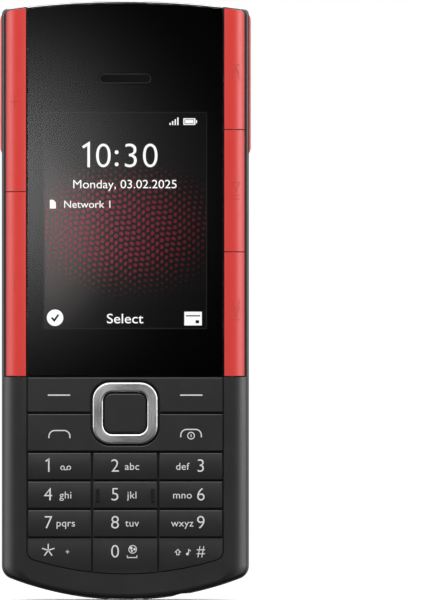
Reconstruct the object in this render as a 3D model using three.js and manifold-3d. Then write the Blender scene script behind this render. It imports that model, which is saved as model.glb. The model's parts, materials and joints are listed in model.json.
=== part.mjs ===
// Candybar phone with a sliding rear cover over a pair of earbuds.
// Millimetres. The phone stands upright: +Z to the earpiece end, the screen faces -Y, and X runs right as seen
// from the front. The origin is the middle of the footprint at the lowest point.

import * as THREE from 'three';
import { mergeVertices } from 'three/addons/utils/BufferGeometryUtils.js';
import Module from 'manifold-3d';

const wasm = await Module();
wasm.setup();

// Overall size
const bodyWidth = 55.4;
const bodyLength = 134.6;
const thickness = 14.9;
const ringProud = 0.3;
const lowEndRadius = 71;
const highEndRadius = 185;
const bodyCorner = 1.4;
const bodyLowCorner = 3;
const smallestCorner = 0.3;

// Shared clearances
const seat = 0.3;
const slideGap = 0.28;
const keyLine = 0.28;
const overrun = 1;
const hairline = 0.01;
const snugFit = 0.1;

// Depths from the face towards the back
const faceY = ringProud - thickness / 2;
const sideDepth = 4.25;
const frontBackY = faceY + sideDepth;
const glassThickness = 0.8;
const ledgeThickness = 0.8;
const ledgeY = faceY + glassThickness + seat;
const ledgeBackY = ledgeY + ledgeThickness;
const keyThickness = 1.05;
const keyRoom = 0.5;
const keyStroke = 0.35;
const webThickness = 0.8;
const keyBackY = faceY + keyThickness;
const webY = keyBackY + keyRoom;
const webBackY = webY + webThickness;
const stemEndY = webBackY - seat;
const domeHeight = 0.25;
const matThickness = 0.6;
const strokeSpare = 0.1;
const domeY = stemEndY + keyStroke + strokeSpare;
const matY = domeY + domeHeight;
const boardThickness = 0.8;
const keypadBoardY = matY + matThickness + seat;
const mainBoardY = keypadBoardY + boardThickness + seat;
const mainBoardBackY = mainBoardY + boardThickness;
const pocketFloor = 0.6;
const pocketFrontY = mainBoardBackY + seat;
const pocketY = pocketFrontY + pocketFloor;
const panelThickness = 1.75;
const panelY = ledgeY;
const panFloor = 0.5;
const panY = panelY + panelThickness + seat;
const panBackY = panY + panFloor;

// Depths from the back towards the face
const capBackY = thickness / 2;
const capWall = 1.15;
const capInnerY = capBackY - capWall;
const crestY = capInnerY - slideGap;
const rimHeight = 1.8;
const rimY = crestY - rimHeight;
const deckY = rimY - seat;
const deckThickness = 1;
const deckFrontY = deckY - deckThickness;
const coverThickness = 1.2;
const coverBackY = rimY + coverThickness;
const shoulderY = 1.2;

// Widths, as half widths from the middle plane
const bodyHalf = bodyWidth / 2;
const flankStep = 0.95;
const topStep = 0.6;
const sideSpan = 4.65;
const frontHalf = bodyHalf - flankStep;
const faceHalf = frontHalf - sideSpan;
const faceMargin = 0.2;
const glassHalf = faceHalf - faceMargin;
const shoulderWidth = 1.8;
const outerFacet = 2.25;
const innerFacet = 1.8;
const rimHalf = bodyHalf - shoulderWidth;
const crestHalf = rimHalf - outerFacet;
const rimInnerHalf = crestHalf - innerFacet;
const rimOverhang = 0.9;
const chassisHalf = rimHalf - rimOverhang;
const capOverlap = 0.45;
const capHalf = bodyHalf + capOverlap;
const coverHalf = rimInnerHalf - slideGap;

// Heights of the front, from the low end and from the high end
const endRound = 1.2;
const padLow = 6.1;
const padLowRadius = 68.4;
const padCorner = 2;
const lastRowHeight = 8;
const rowPitch = 6.4;
const callRowHeight = 8.7;
const softRowHeight = 8.2;
const numberRows = 4;
const halfLine = keyLine / 2;
const numberLine = padLow + lastRowHeight + (numberRows - 1) * rowPitch;
const callLine = numberLine + callRowHeight;
const padLine = callLine + softRowHeight;
const padHigh = padLine - halfLine;
const windowMargin = 0.5;
const windowHigh = bodyLength - topStep - windowMargin;
const windowLow = padLine + halfLine;

// Heights of the back
const capTopDrop = 0.4;
const capLength = 36.6;
const capCoverLap = 2;
const capHigh = bodyLength - capTopDrop;
const capLow = capHigh - capLength;
const rimBand = 1.94;
const rimLowStep = 1.1;
const rimCrestStep = 0.95;
const coverHigh = capLow + capCoverLap;
const bulkhead = 0.9;
const bayLow = coverHigh + bulkhead;
const topWall = 3.2;
const bayHigh = bodyLength - topWall;

// Side buttons
const buttonThickness = 1.3;
const buttonRoom = 0.4;
const switchThickness = 0.4;
const buttonLow = padHigh + keyLine;
const volumeSplitShare = 0.489;
const skipSplitShares = [0.329, 0.654];
const buttonSplit = (share) => buttonLow + (bodyLength - buttonLow) * share;

// Rounding, in steps
const cornerSteps = 3;
const lowArcSteps = 14;
const highArcSteps = 8;
const sideSteps = 6;
const roundSides = 20;
const smallSides = 10;

const halfTurn = Math.PI;
const quarterTurn = Math.PI / 2;

// Finishes
const finish = (color, roughness, metalness = 0) => new THREE.MeshStandardMaterial({ color, roughness, metalness });
const redPlastic = finish(0xdb3d32, 0.38);
const blackPlastic = finish(0x3a3839, 0.42);
const coverPlastic = finish(0x353334, 0.5);
const keyPlastic = finish(0x373536, 0.4);
const blackGlass = finish(0x0a0a0b, 0.06);
const panelGlass = finish(0x2a1016, 0.3);
const brushedSteel = finish(0xb9b9bb, 0.3, 1);
const darkSteel = finish(0x6d6d70, 0.4, 1);
const boardGreen = finish(0x1d4a34, 0.5);
const darkRubber = finish(0x2a2a2b, 0.8);
const cellWrap = finish(0x4b4d52, 0.45);
const flashGlass = finish(0xdad5a9, 0.25);
const earbudPlastic = finish(0x1f1f21, 0.3);

// Shapes

const phone = new THREE.Group();

function solid(geometry) {
  const bare = geometry.clone();
  bare.deleteAttribute('normal');
  bare.deleteAttribute('uv');
  const merged = mergeVertices(bare);
  return new wasm.Manifold(new wasm.Mesh({
    numProp: 3,
    vertProperties: merged.attributes.position.array,
    triVerts: Uint32Array.from(merged.index.array),
  }));
}

function add(name, shape, material) {
  const { vertProperties, triVerts } = shape.getMesh();
  const geometry = new THREE.BufferGeometry();
  geometry.setAttribute('position', new THREE.BufferAttribute(vertProperties, 3));
  geometry.setIndex(new THREE.BufferAttribute(triVerts, 1));
  geometry.computeVertexNormals();
  const mesh = new THREE.Mesh(geometry, material);
  mesh.name = name;
  phone.add(mesh);
}

const point = (x, y) => new THREE.Vector2(x, y);

function arc(x, y, radius, from, to, steps) {
  return Array.from({ length: steps + 1 }, (_, i) => {
    const angle = from + ((to - from) * i) / steps;
    return point(x + radius * Math.cos(angle), y + radius * Math.sin(angle));
  });
}

// Half of an outline: right corner, end arc and left corner of an end that reaches up to the given height.
function endPoints(half, reach, radius, corner, steps) {
  const round = Number.isFinite(radius);
  const centre = round ? reach - radius : 0;
  const rise = round ? Math.sqrt((radius - corner) ** 2 - (half - corner) ** 2) : reach - corner;
  const turn = round ? Math.atan2(rise, half - corner) : quarterTurn;
  return [
    ...arc(half - corner, centre + rise, corner, 0, turn, cornerSteps),
    ...(round ? arc(0, centre, radius, turn, halfTurn - turn, steps).slice(1, -1) : []),
    ...arc(corner - half, centre + rise, corner, halfTurn - turn, halfTurn, cornerSteps),
  ];
}

// A closed outline with straight sides and two ends, each straight or arced, counted anticlockwise from the right.
function slab({ half, low, high, lowRadius = Infinity, highRadius = Infinity, corner = smallestCorner,
  lowCorner = corner, highCorner = corner }) {
  const top = endPoints(half, high, highRadius, highCorner, highArcSteps);
  const bottom = endPoints(half, -low, lowRadius, lowCorner, lowArcSteps);
  return [...top, ...bottom.map((p) => point(-p.x, -p.y))];
}

// The phone's own outline, drawn in from the silhouette by an inset.
const silhouette = (inset) => slab({
  half: bodyHalf - inset,
  low: inset,
  high: bodyLength - inset,
  lowRadius: lowEndRadius - inset,
  highRadius: highEndRadius - inset,
  lowCorner: bodyLowCorner - inset,
  highCorner: bodyCorner - inset / 2,
});

function extrude(points, depth) {
  return new THREE.ExtrudeGeometry(new THREE.Shape(points), { depth, bevelEnabled: false });
}

// An outline in X and Z given a thickness along Y.
const plate = (points, front, back) =>
  solid(extrude(points, back - front).rotateX(quarterTurn).translate(0, back, 0));

// A section in X and Y drawn out along Z.
const bar = (points, low, high) => solid(extrude(points, high - low).translate(0, 0, low));

// A stack of outlines with equal counts, each at its own depth, skinned from front to back.
function loft(rings) {
  const count = rings[0].points.length;
  const positions = rings.flatMap(({ points, y }) => points.flatMap((p) => [p.x, y, p.y]));
  const index = [];
  for (let ring = 0; ring + 1 < rings.length; ring++) {
    for (let i = 0; i < count; i++) {
      const near = ring * count + i;
      const next = ring * count + ((i + 1) % count);
      index.push(near, next + count, next, near, near + count, next + count);
    }
  }
  const back = (rings.length - 1) * count;
  for (const [a, b, c] of THREE.ShapeUtils.triangulateShape(rings[0].points, [])) index.push(a, b, c);
  for (const [a, b, c] of THREE.ShapeUtils.triangulateShape(rings.at(-1).points, [])) {
    index.push(back + a, back + c, back + b);
  }
  const geometry = new THREE.BufferGeometry();
  geometry.setAttribute('position', new THREE.Float32BufferAttribute(positions, 3));
  geometry.setIndex(index);
  return solid(geometry);
}

function box(lowX, highX, front, back, low, high) {
  const geometry = new THREE.BoxGeometry(highX - lowX, back - front, high - low);
  return solid(geometry.translate((lowX + highX) / 2, (front + back) / 2, (low + high) / 2));
}

function pin(x, z, radius, front, back, sides = smallSides) {
  const geometry = new THREE.CylinderGeometry(radius, radius, back - front, sides);
  return solid(geometry.translate(x, (front + back) / 2, z));
}

// A plate with rounded corners and a chamfered front edge.
function chamferedPlate(outline, front, back, chamfer) {
  return loft([
    { points: outline(chamfer), y: front },
    { points: outline(0), y: front + chamfer },
    { points: outline(0), y: back },
  ]);
}

const shifted = (points, x, z) => points.map((p) => point(p.x + x, p.y + z));
const rectangle = (half, halfHeight, corner) => slab({ half, low: -halfHeight, high: halfHeight, corner });

// The rounded side of the front as a quarter ellipse, drawn in by a depth, for the right side.
function sideCurve(depth) {
  return Array.from({ length: sideSteps + 1 }, (_, i) => {
    const turn = (quarterTurn * i) / sideSteps;
    return point(faceHalf + (sideSpan - depth) * Math.sin(turn), frontBackY - (sideDepth - depth) * Math.cos(turn));
  });
}

// The front's full form: flat face, rounded sides and a rounded low end.
const frontForm = loft(Array.from({ length: sideSteps + 1 }, (_, i) => {
  const turn = (quarterTurn * i) / sideSteps;
  const fall = Math.sin(turn);
  return {
    y: frontBackY - sideDepth * Math.cos(turn),
    points: slab({
      half: faceHalf + sideSpan * fall,
      low: flankStep + endRound * (1 - fall),
      high: bodyLength - topStep,
      lowRadius: lowEndRadius - flankStep,
      highRadius: highEndRadius - topStep,
      lowCorner: bodyLowCorner - flankStep,
      highCorner: bodyCorner / 2,
    }),
  };
}));

// Everything outside the side curve at a depth, between two heights, on the side given by +1 or -1.
function sideBand(depth, reach, low, high, side, inner = faceHalf) {
  const curve = sideCurve(depth);
  const points = [
    point(inner, curve[0].y),
    ...curve,
    point(frontHalf + depth + overrun, reach),
    point(frontHalf + depth + overrun, faceY - overrun),
    point(inner, faceY - overrun),
  ].filter((p, i, all) => i === 0 || p.distanceTo(all[i - 1]) > hairline);
  return bar(points.map((p) => point(p.x * side, p.y)), low, high);
}

// Display window and earpiece
const earpieceDrop = 17.74;
const earpieceZ = bodyLength - earpieceDrop;
const earpieceLength = 11.7;
const earpieceHeight = 2.3;
const windowCorner = 0.6;
const glassEdge = 0.15;
const pill = (length, height, grow = 0) =>
  rectangle(length / 2 + grow, height / 2 + grow, height / 2 + grow - hairline);

const glassOutline = (inset) => slab({
  half: glassHalf - inset,
  low: windowLow + inset,
  high: windowHigh - inset,
  highRadius: highEndRadius - topStep - windowMargin - inset,
  corner: windowCorner,
});
add('display_window', chamferedPlate(glassOutline, faceY, faceY + glassThickness, glassEdge)
  .subtract(plate(shifted(pill(earpieceLength, earpieceHeight), 0, earpieceZ), faceY - overrun, ledgeY)), blackGlass);

const grilleSink = 0.25;
add('earpiece_grille', plate(shifted(pill(earpieceLength, earpieceHeight, -seat / 2), 0, earpieceZ),
  faceY + grilleSink, ledgeY - seat / 2), darkSteel);

const speakerLength = 13;
const speakerHeight = 6;
const speakerThickness = 1.45;
const speakerY = ledgeBackY - ledgeThickness + seat;
add('earpiece_speaker', plate(shifted(pill(speakerLength, speakerHeight), 0, earpieceZ),
  speakerY, speakerY + speakerThickness), darkSteel);

// Display panel and the metal pan behind it
const panelInset = 2.3;
const panelHalf = glassHalf - panelInset;
const panelHigh = earpieceZ - speakerHeight / 2 - seat - ledgeThickness;
const panelRise = 6.5;
const panelLow = windowLow + panelRise;
const panInset = 1.2;
const panHalf = faceHalf - panInset;
const panMargin = 2.1;
add('display_panel', plate(slab({ half: panelHalf, low: panelLow, high: panelHigh }), panelY, panY - seat), panelGlass);
add('display_pan', plate(slab({ half: panHalf, low: windowLow + panMargin, high: windowHigh - panMargin - seat }),
  panY, panBackY), darkSteel);

// Keys
const padMargin = 0.2;
const navHalfWidth = 7.3;
const columnLine = navHalfWidth + snugFit;
const navHalfHeight = 6.9;
const navCorner = 3.9;
const navBand = 2.1;
const navHoleHeight = 4.65;
const navZ = callLine;
const navLine = 0.4;
const stemRadius = 1.3;
const stemRoom = 0.35;
const keyEdge = 0.18;
const sideStemX = (columnLine + glassHalf) / 2;
const lastStemZ = padLow + lastRowHeight / 2;

const padOutline = (inset) => slab({
  half: glassHalf - inset,
  low: padLow + inset,
  high: padHigh,
  lowRadius: padLowRadius - inset,
  lowCorner: padCorner,
  highCorner: smallestCorner,
});
const padForm = chamferedPlate(padOutline, faceY, keyBackY, keyEdge);
const navWell = plate(shifted(rectangle(navHalfWidth + navLine, navHalfHeight + navLine, navCorner + navLine), 0, navZ),
  faceY - overrun, keyBackY + overrun);

function key(name, left, right, low, high, { stemX = (left + right) / 2, extra } = {}) {
  const outline = (inset) => shifted(
    rectangle((right - left) / 2 - inset, (high - low) / 2 - inset, smallestCorner),
    (left + right) / 2, (low + high) / 2);
  const stem = pin(stemX, Math.max((low + high) / 2, lastStemZ), stemRadius, keyBackY - keyThickness / 2, stemEndY);
  const cap = chamferedPlate(outline, faceY, keyBackY, keyEdge).intersect(padForm).subtract(navWell);
  add(name, (extra ? cap.add(extra) : cap).add(stem), keyPlastic);
}

const outer = glassHalf + overrun;
key('soft_key_left', -outer, -halfLine / 2, callLine + halfLine, padHigh, { stemX: -sideStemX });
key('soft_key_right', halfLine / 2, outer, callLine + halfLine, padHigh, { stemX: sideStemX });
key('call_key', -outer, -halfLine / 2, numberLine + halfLine, callLine - halfLine, { stemX: -sideStemX });
key('end_key', halfLine / 2, outer, numberLine + halfLine, callLine - halfLine, { stemX: sideStemX });

const tactileProud = 0.2;
const tactileWidth = 0.5;
const tactileHeight = 2.7;
const tactileX = 6;
const keyNames = [['1', '2', '3'], ['4', '5', '6'], ['7', '8', '9'], ['star', '0', 'hash']];
const softStemZ = (callLine + padLine) / 2;
const callStemZ = (numberLine + callLine) / 2;
const stems = [[-sideStemX, softStemZ], [sideStemX, softStemZ], [-sideStemX, callStemZ], [sideStemX, callStemZ]];
const columnEdges = [-glassHalf, -columnLine, columnLine, glassHalf];
keyNames.forEach((names, row) => names.forEach((name, column) => {
  const high = numberLine - halfLine - row * rowPitch;
  const low = row === numberRows - 1 ? padLow - overrun : high - rowPitch + keyLine;
  const left = columnEdges[column] + (column === 0 ? -overrun : halfLine);
  const right = columnEdges[column + 1] - (column === columnEdges.length - 2 ? -overrun : halfLine);
  const stemX = (columnEdges[column] + columnEdges[column + 1]) / 2;
  const barAt = (x) => box(x - tactileWidth / 2, x + tactileWidth / 2, faceY - tactileProud, faceY + tactileProud,
    (low + high - tactileHeight) / 2, (low + high + tactileHeight) / 2);
  const extra = name === '5' ? barAt(-tactileX).add(barAt(tactileX)) : undefined;
  key(`key_${name}`, left, right, low, high, { stemX, extra });
  stems.push([stemX, Math.max((low + high) / 2, lastStemZ)]);
}));

// Navigation ring, the rocker it tilts on, and the select key inside it
const selectHalfWidth = navHalfWidth - navBand - navLine;
const selectHalfHeight = navHoleHeight - navLine;
const navInner = (grow) => shifted(
  rectangle(navHalfWidth - navBand + grow, navHoleHeight + grow, navCorner - navBand + grow), 0, navZ);
const navOuter = (grow) => shifted(
  rectangle(navHalfWidth + grow, navHalfHeight + grow, navCorner + grow), 0, navZ);
const ringEdge = 0.35;
add('nav_ring', loft([
  { points: navOuter(-ringEdge), y: faceY - ringProud },
  { points: navOuter(0), y: faceY - ringProud + ringEdge },
  { points: navOuter(0), y: keyBackY },
]).subtract(loft([
  { points: navInner(ringEdge + overrun), y: faceY - ringProud - overrun },
  { points: navInner(ringEdge), y: faceY - ringProud },
  { points: navInner(0), y: faceY - ringProud + ringEdge },
  { points: navInner(0), y: keyBackY + overrun },
])), brushedSteel);
const rockerY = keyBackY + seat;
add('nav_rocker', plate(navOuter(-navLine), rockerY, stemEndY)
  .subtract(plate(navInner(snugFit), rockerY - overrun, stemEndY + overrun)), darkRubber);
const selectOutline = (inset) => shifted(
  rectangle(selectHalfWidth - inset, selectHalfHeight - inset, navCorner - navBand - navLine), 0, navZ);
add('select_key', chamferedPlate(selectOutline, faceY, keyBackY, keyEdge)
  .add(pin(0, navZ, stemRadius, keyBackY - keyThickness / 2, stemEndY)), keyPlastic);

// Key mat with a dome under each stem, and the keypad's board
const cavityInset = 0.8;
const cavityHalf = faceHalf - cavityInset;
const cavityLow = 7.4;
const cavityCorner = 8;
const matMargin = 0.6;
const domeRadius = 1.9;
const domeTopRadius = 1.3;
function dome([x, z]) {
  const geometry = new THREE.CylinderGeometry(domeRadius, domeTopRadius, domeHeight + seat, smallSides);
  return solid(geometry.translate(x, domeY + (domeHeight + seat) / 2, z));
}
const matOutline = slab({
  half: cavityHalf - matMargin,
  low: cavityLow + matMargin,
  high: padHigh - seat,
  lowCorner: cavityCorner - matMargin,
  highCorner: bodyCorner,
});
add('key_mat', [...stems, [0, navZ]].reduce((mat, place) => mat.add(dome(place)),
  plate(matOutline, matY, matY + matThickness)), darkRubber);
add('keypad_board', plate(matOutline, keypadBoardY, keypadBoardY + boardThickness), boardGreen);

// Front housing
const cavityHigh = windowHigh - panMargin;
const screwInset = 6;
const screwX = chassisHalf - screwInset;
const screwZ = 7.9;
const shankRadius = 0.8;
const shankDepth = 1.5;
const windowLip = 0.3;

const glassWell = plate(slab({
  half: faceHalf - hairline, low: windowLow - keyLine, high: windowHigh + slideGap,
  highRadius: highEndRadius - topStep, corner: windowCorner,
}), faceY - overrun, ledgeY);
const padWell = plate(slab({
  half: faceHalf - hairline, low: padLow - padMargin, high: padHigh + keyLine,
  lowRadius: padLowRadius + padMargin, lowCorner: padCorner + padMargin, highCorner: smallestCorner,
}), faceY - overrun, webY);
const lowCavity = plate(slab({
  half: cavityHalf, low: cavityLow, high: padHigh + seat, lowCorner: cavityCorner, highCorner: bodyCorner,
}), webBackY, frontBackY + overrun);
const highCavity = plate(slab({ half: cavityHalf, low: windowLow + panMargin - seat, high: cavityHigh }),
  ledgeBackY, frontBackY + overrun);
const panelHole = plate(slab({ half: panelHalf + windowLip, low: panelLow - windowLip, high: panelHigh + windowLip }),
  faceY, frontBackY);
const speakerHole = plate(shifted(pill(speakerLength, speakerHeight, seat), 0, earpieceZ), ledgeY - overrun, frontBackY);
const navHole = plate(navOuter(0), webY - overrun, webBackY + overrun);
const stemHoles = stems.map(([x, z]) => pin(x, z, stemRadius + stemRoom, webY - overrun, webBackY + overrun));
const buttonDepth = buttonThickness + buttonRoom + switchThickness + seat;
const buttonWell = (side) => sideBand(buttonDepth, frontBackY + overrun, buttonLow - keyLine, bodyLength, side,
  glassHalf + faceMargin / 4);
const screwBores = [-screwX, screwX].map((x) =>
  pin(x, screwZ, shankRadius + seat, frontBackY - shankDepth - seat, frontBackY + overrun));

add('front_housing', wasm.Manifold.difference([frontForm, glassWell, padWell, lowCavity, highCavity, panelHole,
  speakerHole, navHole, ...stemHoles, buttonWell(-1), buttonWell(1), ...screwBores]), blackPlastic);

// Side buttons and the switch strips under them
const buttonInner = faceHalf + faceMargin / 2;
function sideButton(name, low, high, side) {
  const band = sideBand(buttonThickness, frontBackY - faceMargin, low, high, side, buttonInner);
  const trim = box(Math.min(side * buttonInner, side * (bodyHalf + overrun)),
    Math.max(side * buttonInner, side * (bodyHalf + overrun)), faceY - overrun, frontBackY - faceMargin, low, high);
  add(name, frontForm.intersect(band).intersect(trim), redPlastic);
}
sideButton('volume_up_button', buttonSplit(volumeSplitShare) + halfLine, bodyLength, -1);
sideButton('volume_down_button', buttonLow, buttonSplit(volumeSplitShare) - halfLine, -1);
const [nextSplit, previousSplit] = skipSplitShares.map(buttonSplit);
sideButton('previous_button', previousSplit + halfLine, bodyLength, 1);
sideButton('play_button', nextSplit + halfLine, previousSplit - halfLine, 1);
sideButton('next_button', buttonLow, nextSplit - halfLine, 1);

const stripDepth = buttonThickness + buttonRoom;
const stripMargin = 4;
const stripTopDrop = 6;
function switchStrip(name, side) {
  const front = sideCurve(stripDepth);
  const back = sideCurve(stripDepth + switchThickness);
  const points = [...front.slice(1, -1), ...back.slice(1, -1).reverse()].map((p) => point(p.x * side, p.y));
  add(name, bar(points, buttonLow + stripMargin, bodyLength - stripTopDrop), boardGreen);
}
switchStrip('side_switches_left', -1);
switchStrip('side_switches_right', 1);

// Rear housing: flank band, raised chassis, battery pocket and bay
const flankShares = [[1, 0], [0.42, 0.12], [0.06, 0.38], [0, 0.55], [0.06, 0.74], [0.42, 0.92], [1, 1]];
const rearFrontY = frontBackY + seat;
const chassisWall = 1.4;
const chassisOutline = (inset) => slab({
  half: chassisHalf - inset,
  low: rimLowStep + inset,
  high: bodyLength - rimLowStep - inset,
  lowRadius: lowEndRadius - rimLowStep - inset,
  highRadius: highEndRadius - rimLowStep - inset,
  lowCorner: Math.max(bodyLowCorner - rimLowStep - inset, smallestCorner),
  highCorner: Math.max(bodyCorner - inset, smallestCorner),
});
const flank = loft(flankShares.map(([step, depth]) => ({
  points: silhouette(flankStep * step),
  y: rearFrontY + (shoulderY - rearFrontY) * depth,
})));
const chassis = plate(chassisOutline(0), rearFrontY + seat, deckY);

const cameraDrop = 11.1;
const cameraZ = capLow - cameraDrop;
const batteryInset = 7.5;
const batteryHalf = chassisHalf - batteryInset;
const batteryLow = 21;
const batteryDrop = 10.6;
const batteryHigh = cameraZ - batteryDrop;
const pocketWall = 0.9;
const contactHalf = 4;
const contactHeight = 1.2;
const pocketHalf = batteryHalf + seat;
const pocketLow = batteryLow - seat;
const pocketHigh = batteryHigh + contactHeight + seat + seat;
const pocketBox = box(-pocketHalf - pocketWall, pocketHalf + pocketWall, pocketFrontY, deckY,
  pocketLow - pocketWall, pocketHigh + pocketWall);
const hollow = plate(chassisOutline(chassisWall), rearFrontY - overrun, deckFrontY);
const bayBlock = box(-chassisHalf, chassisHalf, rearFrontY, deckY, coverHigh - bulkhead, bodyLength);
const pocketHole = box(-pocketHalf, pocketHalf, pocketY, deckY + overrun, pocketLow, pocketHigh);
const bayHole = box(-coverHalf, coverHalf, rearFrontY - overrun, deckY + overrun, bayLow, bayHigh);
const contactHole = box(-contactHalf - seat, contactHalf + seat, pocketFrontY - overrun, pocketY + overrun,
  batteryHigh, pocketHigh);

const slotLength = 15.6;
const slotHeight = 2;
const slotUpperDrop = 2.6;
const slotUpperZ = capLow - slotUpperDrop;
const slotLowerZ = 13.6;
const soundLength = 12;
const soundHeight = 1;
const soundHole = (z) => plate(shifted(pill(soundLength, soundHeight), 0, z), deckFrontY - overrun, deckY + overrun);

const usbHalf = 4.47;
const usbHeight = 3.2;
const usbLength = 7.4;
const usbY = -0.35;
const usbWall = 0.35;
const usbSection = (grow) => Array.from(pill(usbHalf + usbHalf, usbHeight, grow), (p) => point(p.x, p.y + usbY));
const usbHole = bar(usbSection(seat), -overrun, usbLength);
const jackY = 0.25;
const jackRadius = 2.35;
const jackBore = 1.75;
const jackLength = 14;
function column(x, y, radius, low, high, sides = smallSides) {
  const geometry = new THREE.CylinderGeometry(radius, radius, high - low, sides);
  return solid(geometry.rotateX(quarterTurn).translate(x, y, (low + high) / 2));
}
const headRadius = 1.7;
const headHeight = 0.8;
const screwPost = headRadius + pocketWall;
const boardTab = screwX - screwPost - snugFit - seat;
const jackX = boardTab - jackRadius - seat - pocketWall;
const jackHole = column(jackX, jackY, jackRadius + seat, -overrun, jackLength / 2, roundSides);

const posts = [-screwX, screwX].map((x) => pin(x, screwZ, screwPost, rearFrontY, deckY));
const screwHoles = [-screwX, screwX].flatMap((x) => [
  pin(x, screwZ, shankRadius + seat, rearFrontY - overrun, deckY + overrun),
  pin(x, screwZ, headRadius + seat, deckY - headHeight - seat, deckY + overrun),
]);

const cameraHalf = 5.2;
const cameraCorner = 3;
const moduleHalf = 4.1;
const cameraHole = box(-moduleHalf - seat, moduleHalf + seat, deckFrontY - overrun, deckY + overrun,
  cameraZ - moduleHalf - seat, cameraZ + moduleHalf + seat);

add('rear_housing', flank.add(chassis)
  .subtract(hollow.subtract(pocketBox).subtract(bayBlock).subtract(wasm.Manifold.union(posts)))
  .subtract(wasm.Manifold.union([pocketHole, bayHole, contactHole, soundHole(slotUpperZ), soundHole(slotLowerZ),
    usbHole, jackHole, cameraHole, ...screwHoles])), blackPlastic);

// Red rail frame on the chassis: a ridge with an overhang that the sliding cover hooks under
const notchHalf = 6.3;
const notchDepth = 0.5;
const rimEdge = 0.7;
const ridgeOutline = (half, lowStep, highStep, highCorner) => slab({
  half,
  low: lowStep,
  high: bodyLength - highStep,
  lowRadius: lowEndRadius - lowStep,
  highRadius: highEndRadius - highStep,
  lowCorner: Math.max(bodyLowCorner - lowStep, smallestCorner),
  highCorner,
});
const rimOuterLine = ridgeOutline(rimHalf, rimLowStep, rimLowStep, bodyCorner);
const rimCrestLine = ridgeOutline(crestHalf, rimLowStep + rimCrestStep, rimLowStep + rimCrestStep, bodyCorner / 2);
const rimInnerLine = (grow = 0) => ridgeOutline(rimInnerHalf + grow, rimLowStep + rimBand - grow, topWall, smallestCorner);
add('rail_frame', loft([
  { points: rimOuterLine, y: rimY },
  { points: rimOuterLine, y: rimY + rimEdge },
  { points: rimCrestLine, y: crestY },
]).subtract(loft([
  { points: rimInnerLine(), y: rimY - overrun },
  { points: rimInnerLine(), y: coverBackY },
  { points: rimCrestLine, y: crestY + hairline },
])).subtract(box(-notchHalf, notchHalf, rimY - overrun, crestY + overrun, 0, rimLowStep + notchDepth)), redPlastic);

// Battery cover with its openings
const coverEdge = 0.3;
const coverOutline = (inset) => slab({
  half: coverHalf - inset,
  low: rimLowStep + rimBand + slideGap + inset,
  high: coverHigh - inset,
  lowRadius: lowEndRadius - rimLowStep - rimBand - slideGap - inset,
  corner: smallestCorner,
});
const coverBlank = loft([
  { points: coverOutline(0), y: rimY },
  { points: coverOutline(0), y: coverBackY - coverEdge },
  { points: coverOutline(coverEdge), y: coverBackY },
]);
const flashX = -9.9;
const flashRadius = 2.05;
const coverCut = (points) => plate(points, rimY - overrun, coverBackY + overrun);
const cameraOutline = (grow) => shifted(rectangle(cameraHalf + grow, cameraHalf + grow, cameraCorner + grow), 0, cameraZ);
add('battery_cover', coverBlank
  .subtract(coverCut(shifted(pill(slotLength, slotHeight), 0, slotUpperZ)))
  .subtract(coverCut(shifted(pill(slotLength, slotHeight), 0, slotLowerZ)))
  .subtract(coverCut(cameraOutline(slideGap)))
  .subtract(pin(flashX, cameraZ, flashRadius + slideGap, rimY - overrun, coverBackY + overrun, roundSides)), coverPlastic);

const grilleDrop = 0.15;
function speakerGrille(name, z) {
  add(name, plate(shifted(pill(slotLength, slotHeight, -slideGap), 0, z), rimY, coverBackY - grilleDrop), coverPlastic);
}
speakerGrille('speaker_grille_upper', slotUpperZ);
speakerGrille('speaker_grille_lower', slotLowerZ);

// Camera and flash
const cameraProud = 0.45;
const cameraBand = 0.9;
const cameraGlass = 0.6;
const cameraSink = 0.3;
add('camera_ring', loft([
  { points: cameraOutline(0), y: rimY },
  { points: cameraOutline(0), y: coverBackY + cameraProud - keyEdge },
  { points: cameraOutline(-keyEdge), y: coverBackY + cameraProud },
]).subtract(plate(cameraOutline(-cameraBand), rimY - overrun, coverBackY + cameraProud + overrun)), darkSteel);
const cameraWindowBackY = coverBackY + cameraProud - cameraSink;
add('camera_window', plate(cameraOutline(-cameraBand - snugFit), cameraWindowBackY - cameraGlass, cameraWindowBackY), blackGlass);
const barrelRadius = 2.4;
const barrelBackY = cameraWindowBackY - cameraGlass - seat;
add('camera_module', box(-moduleHalf, moduleHalf, pocketFrontY, deckY, cameraZ - moduleHalf, cameraZ + moduleHalf)
  .add(pin(0, cameraZ, barrelRadius, deckY - deckThickness, barrelBackY, roundSides)), darkSteel);
add('flash_lens', pin(flashX, cameraZ, flashRadius, rimY, coverBackY + keyEdge, roundSides), flashGlass);

// Sliding cover: a channel whose lips hook under the rail frame
const capRound = 3;
const capInnerHalf = rimHalf + slideGap;
const lipBackY = rimY - slideGap;
const lipFrontY = shoulderY + slideGap;
const lipHalf = chassisHalf + slideGap;
const innerRound = 1.1;
const capRoundSteps = 5;
const capLowSag = 2;
const capCorner = 2.4;
const capEdge = 0.45;
const capLowRadius = (capHalf ** 2 + capLowSag ** 2) / (capLowSag + capLowSag);
const capHighRadius = highEndRadius - capTopDrop;

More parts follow.
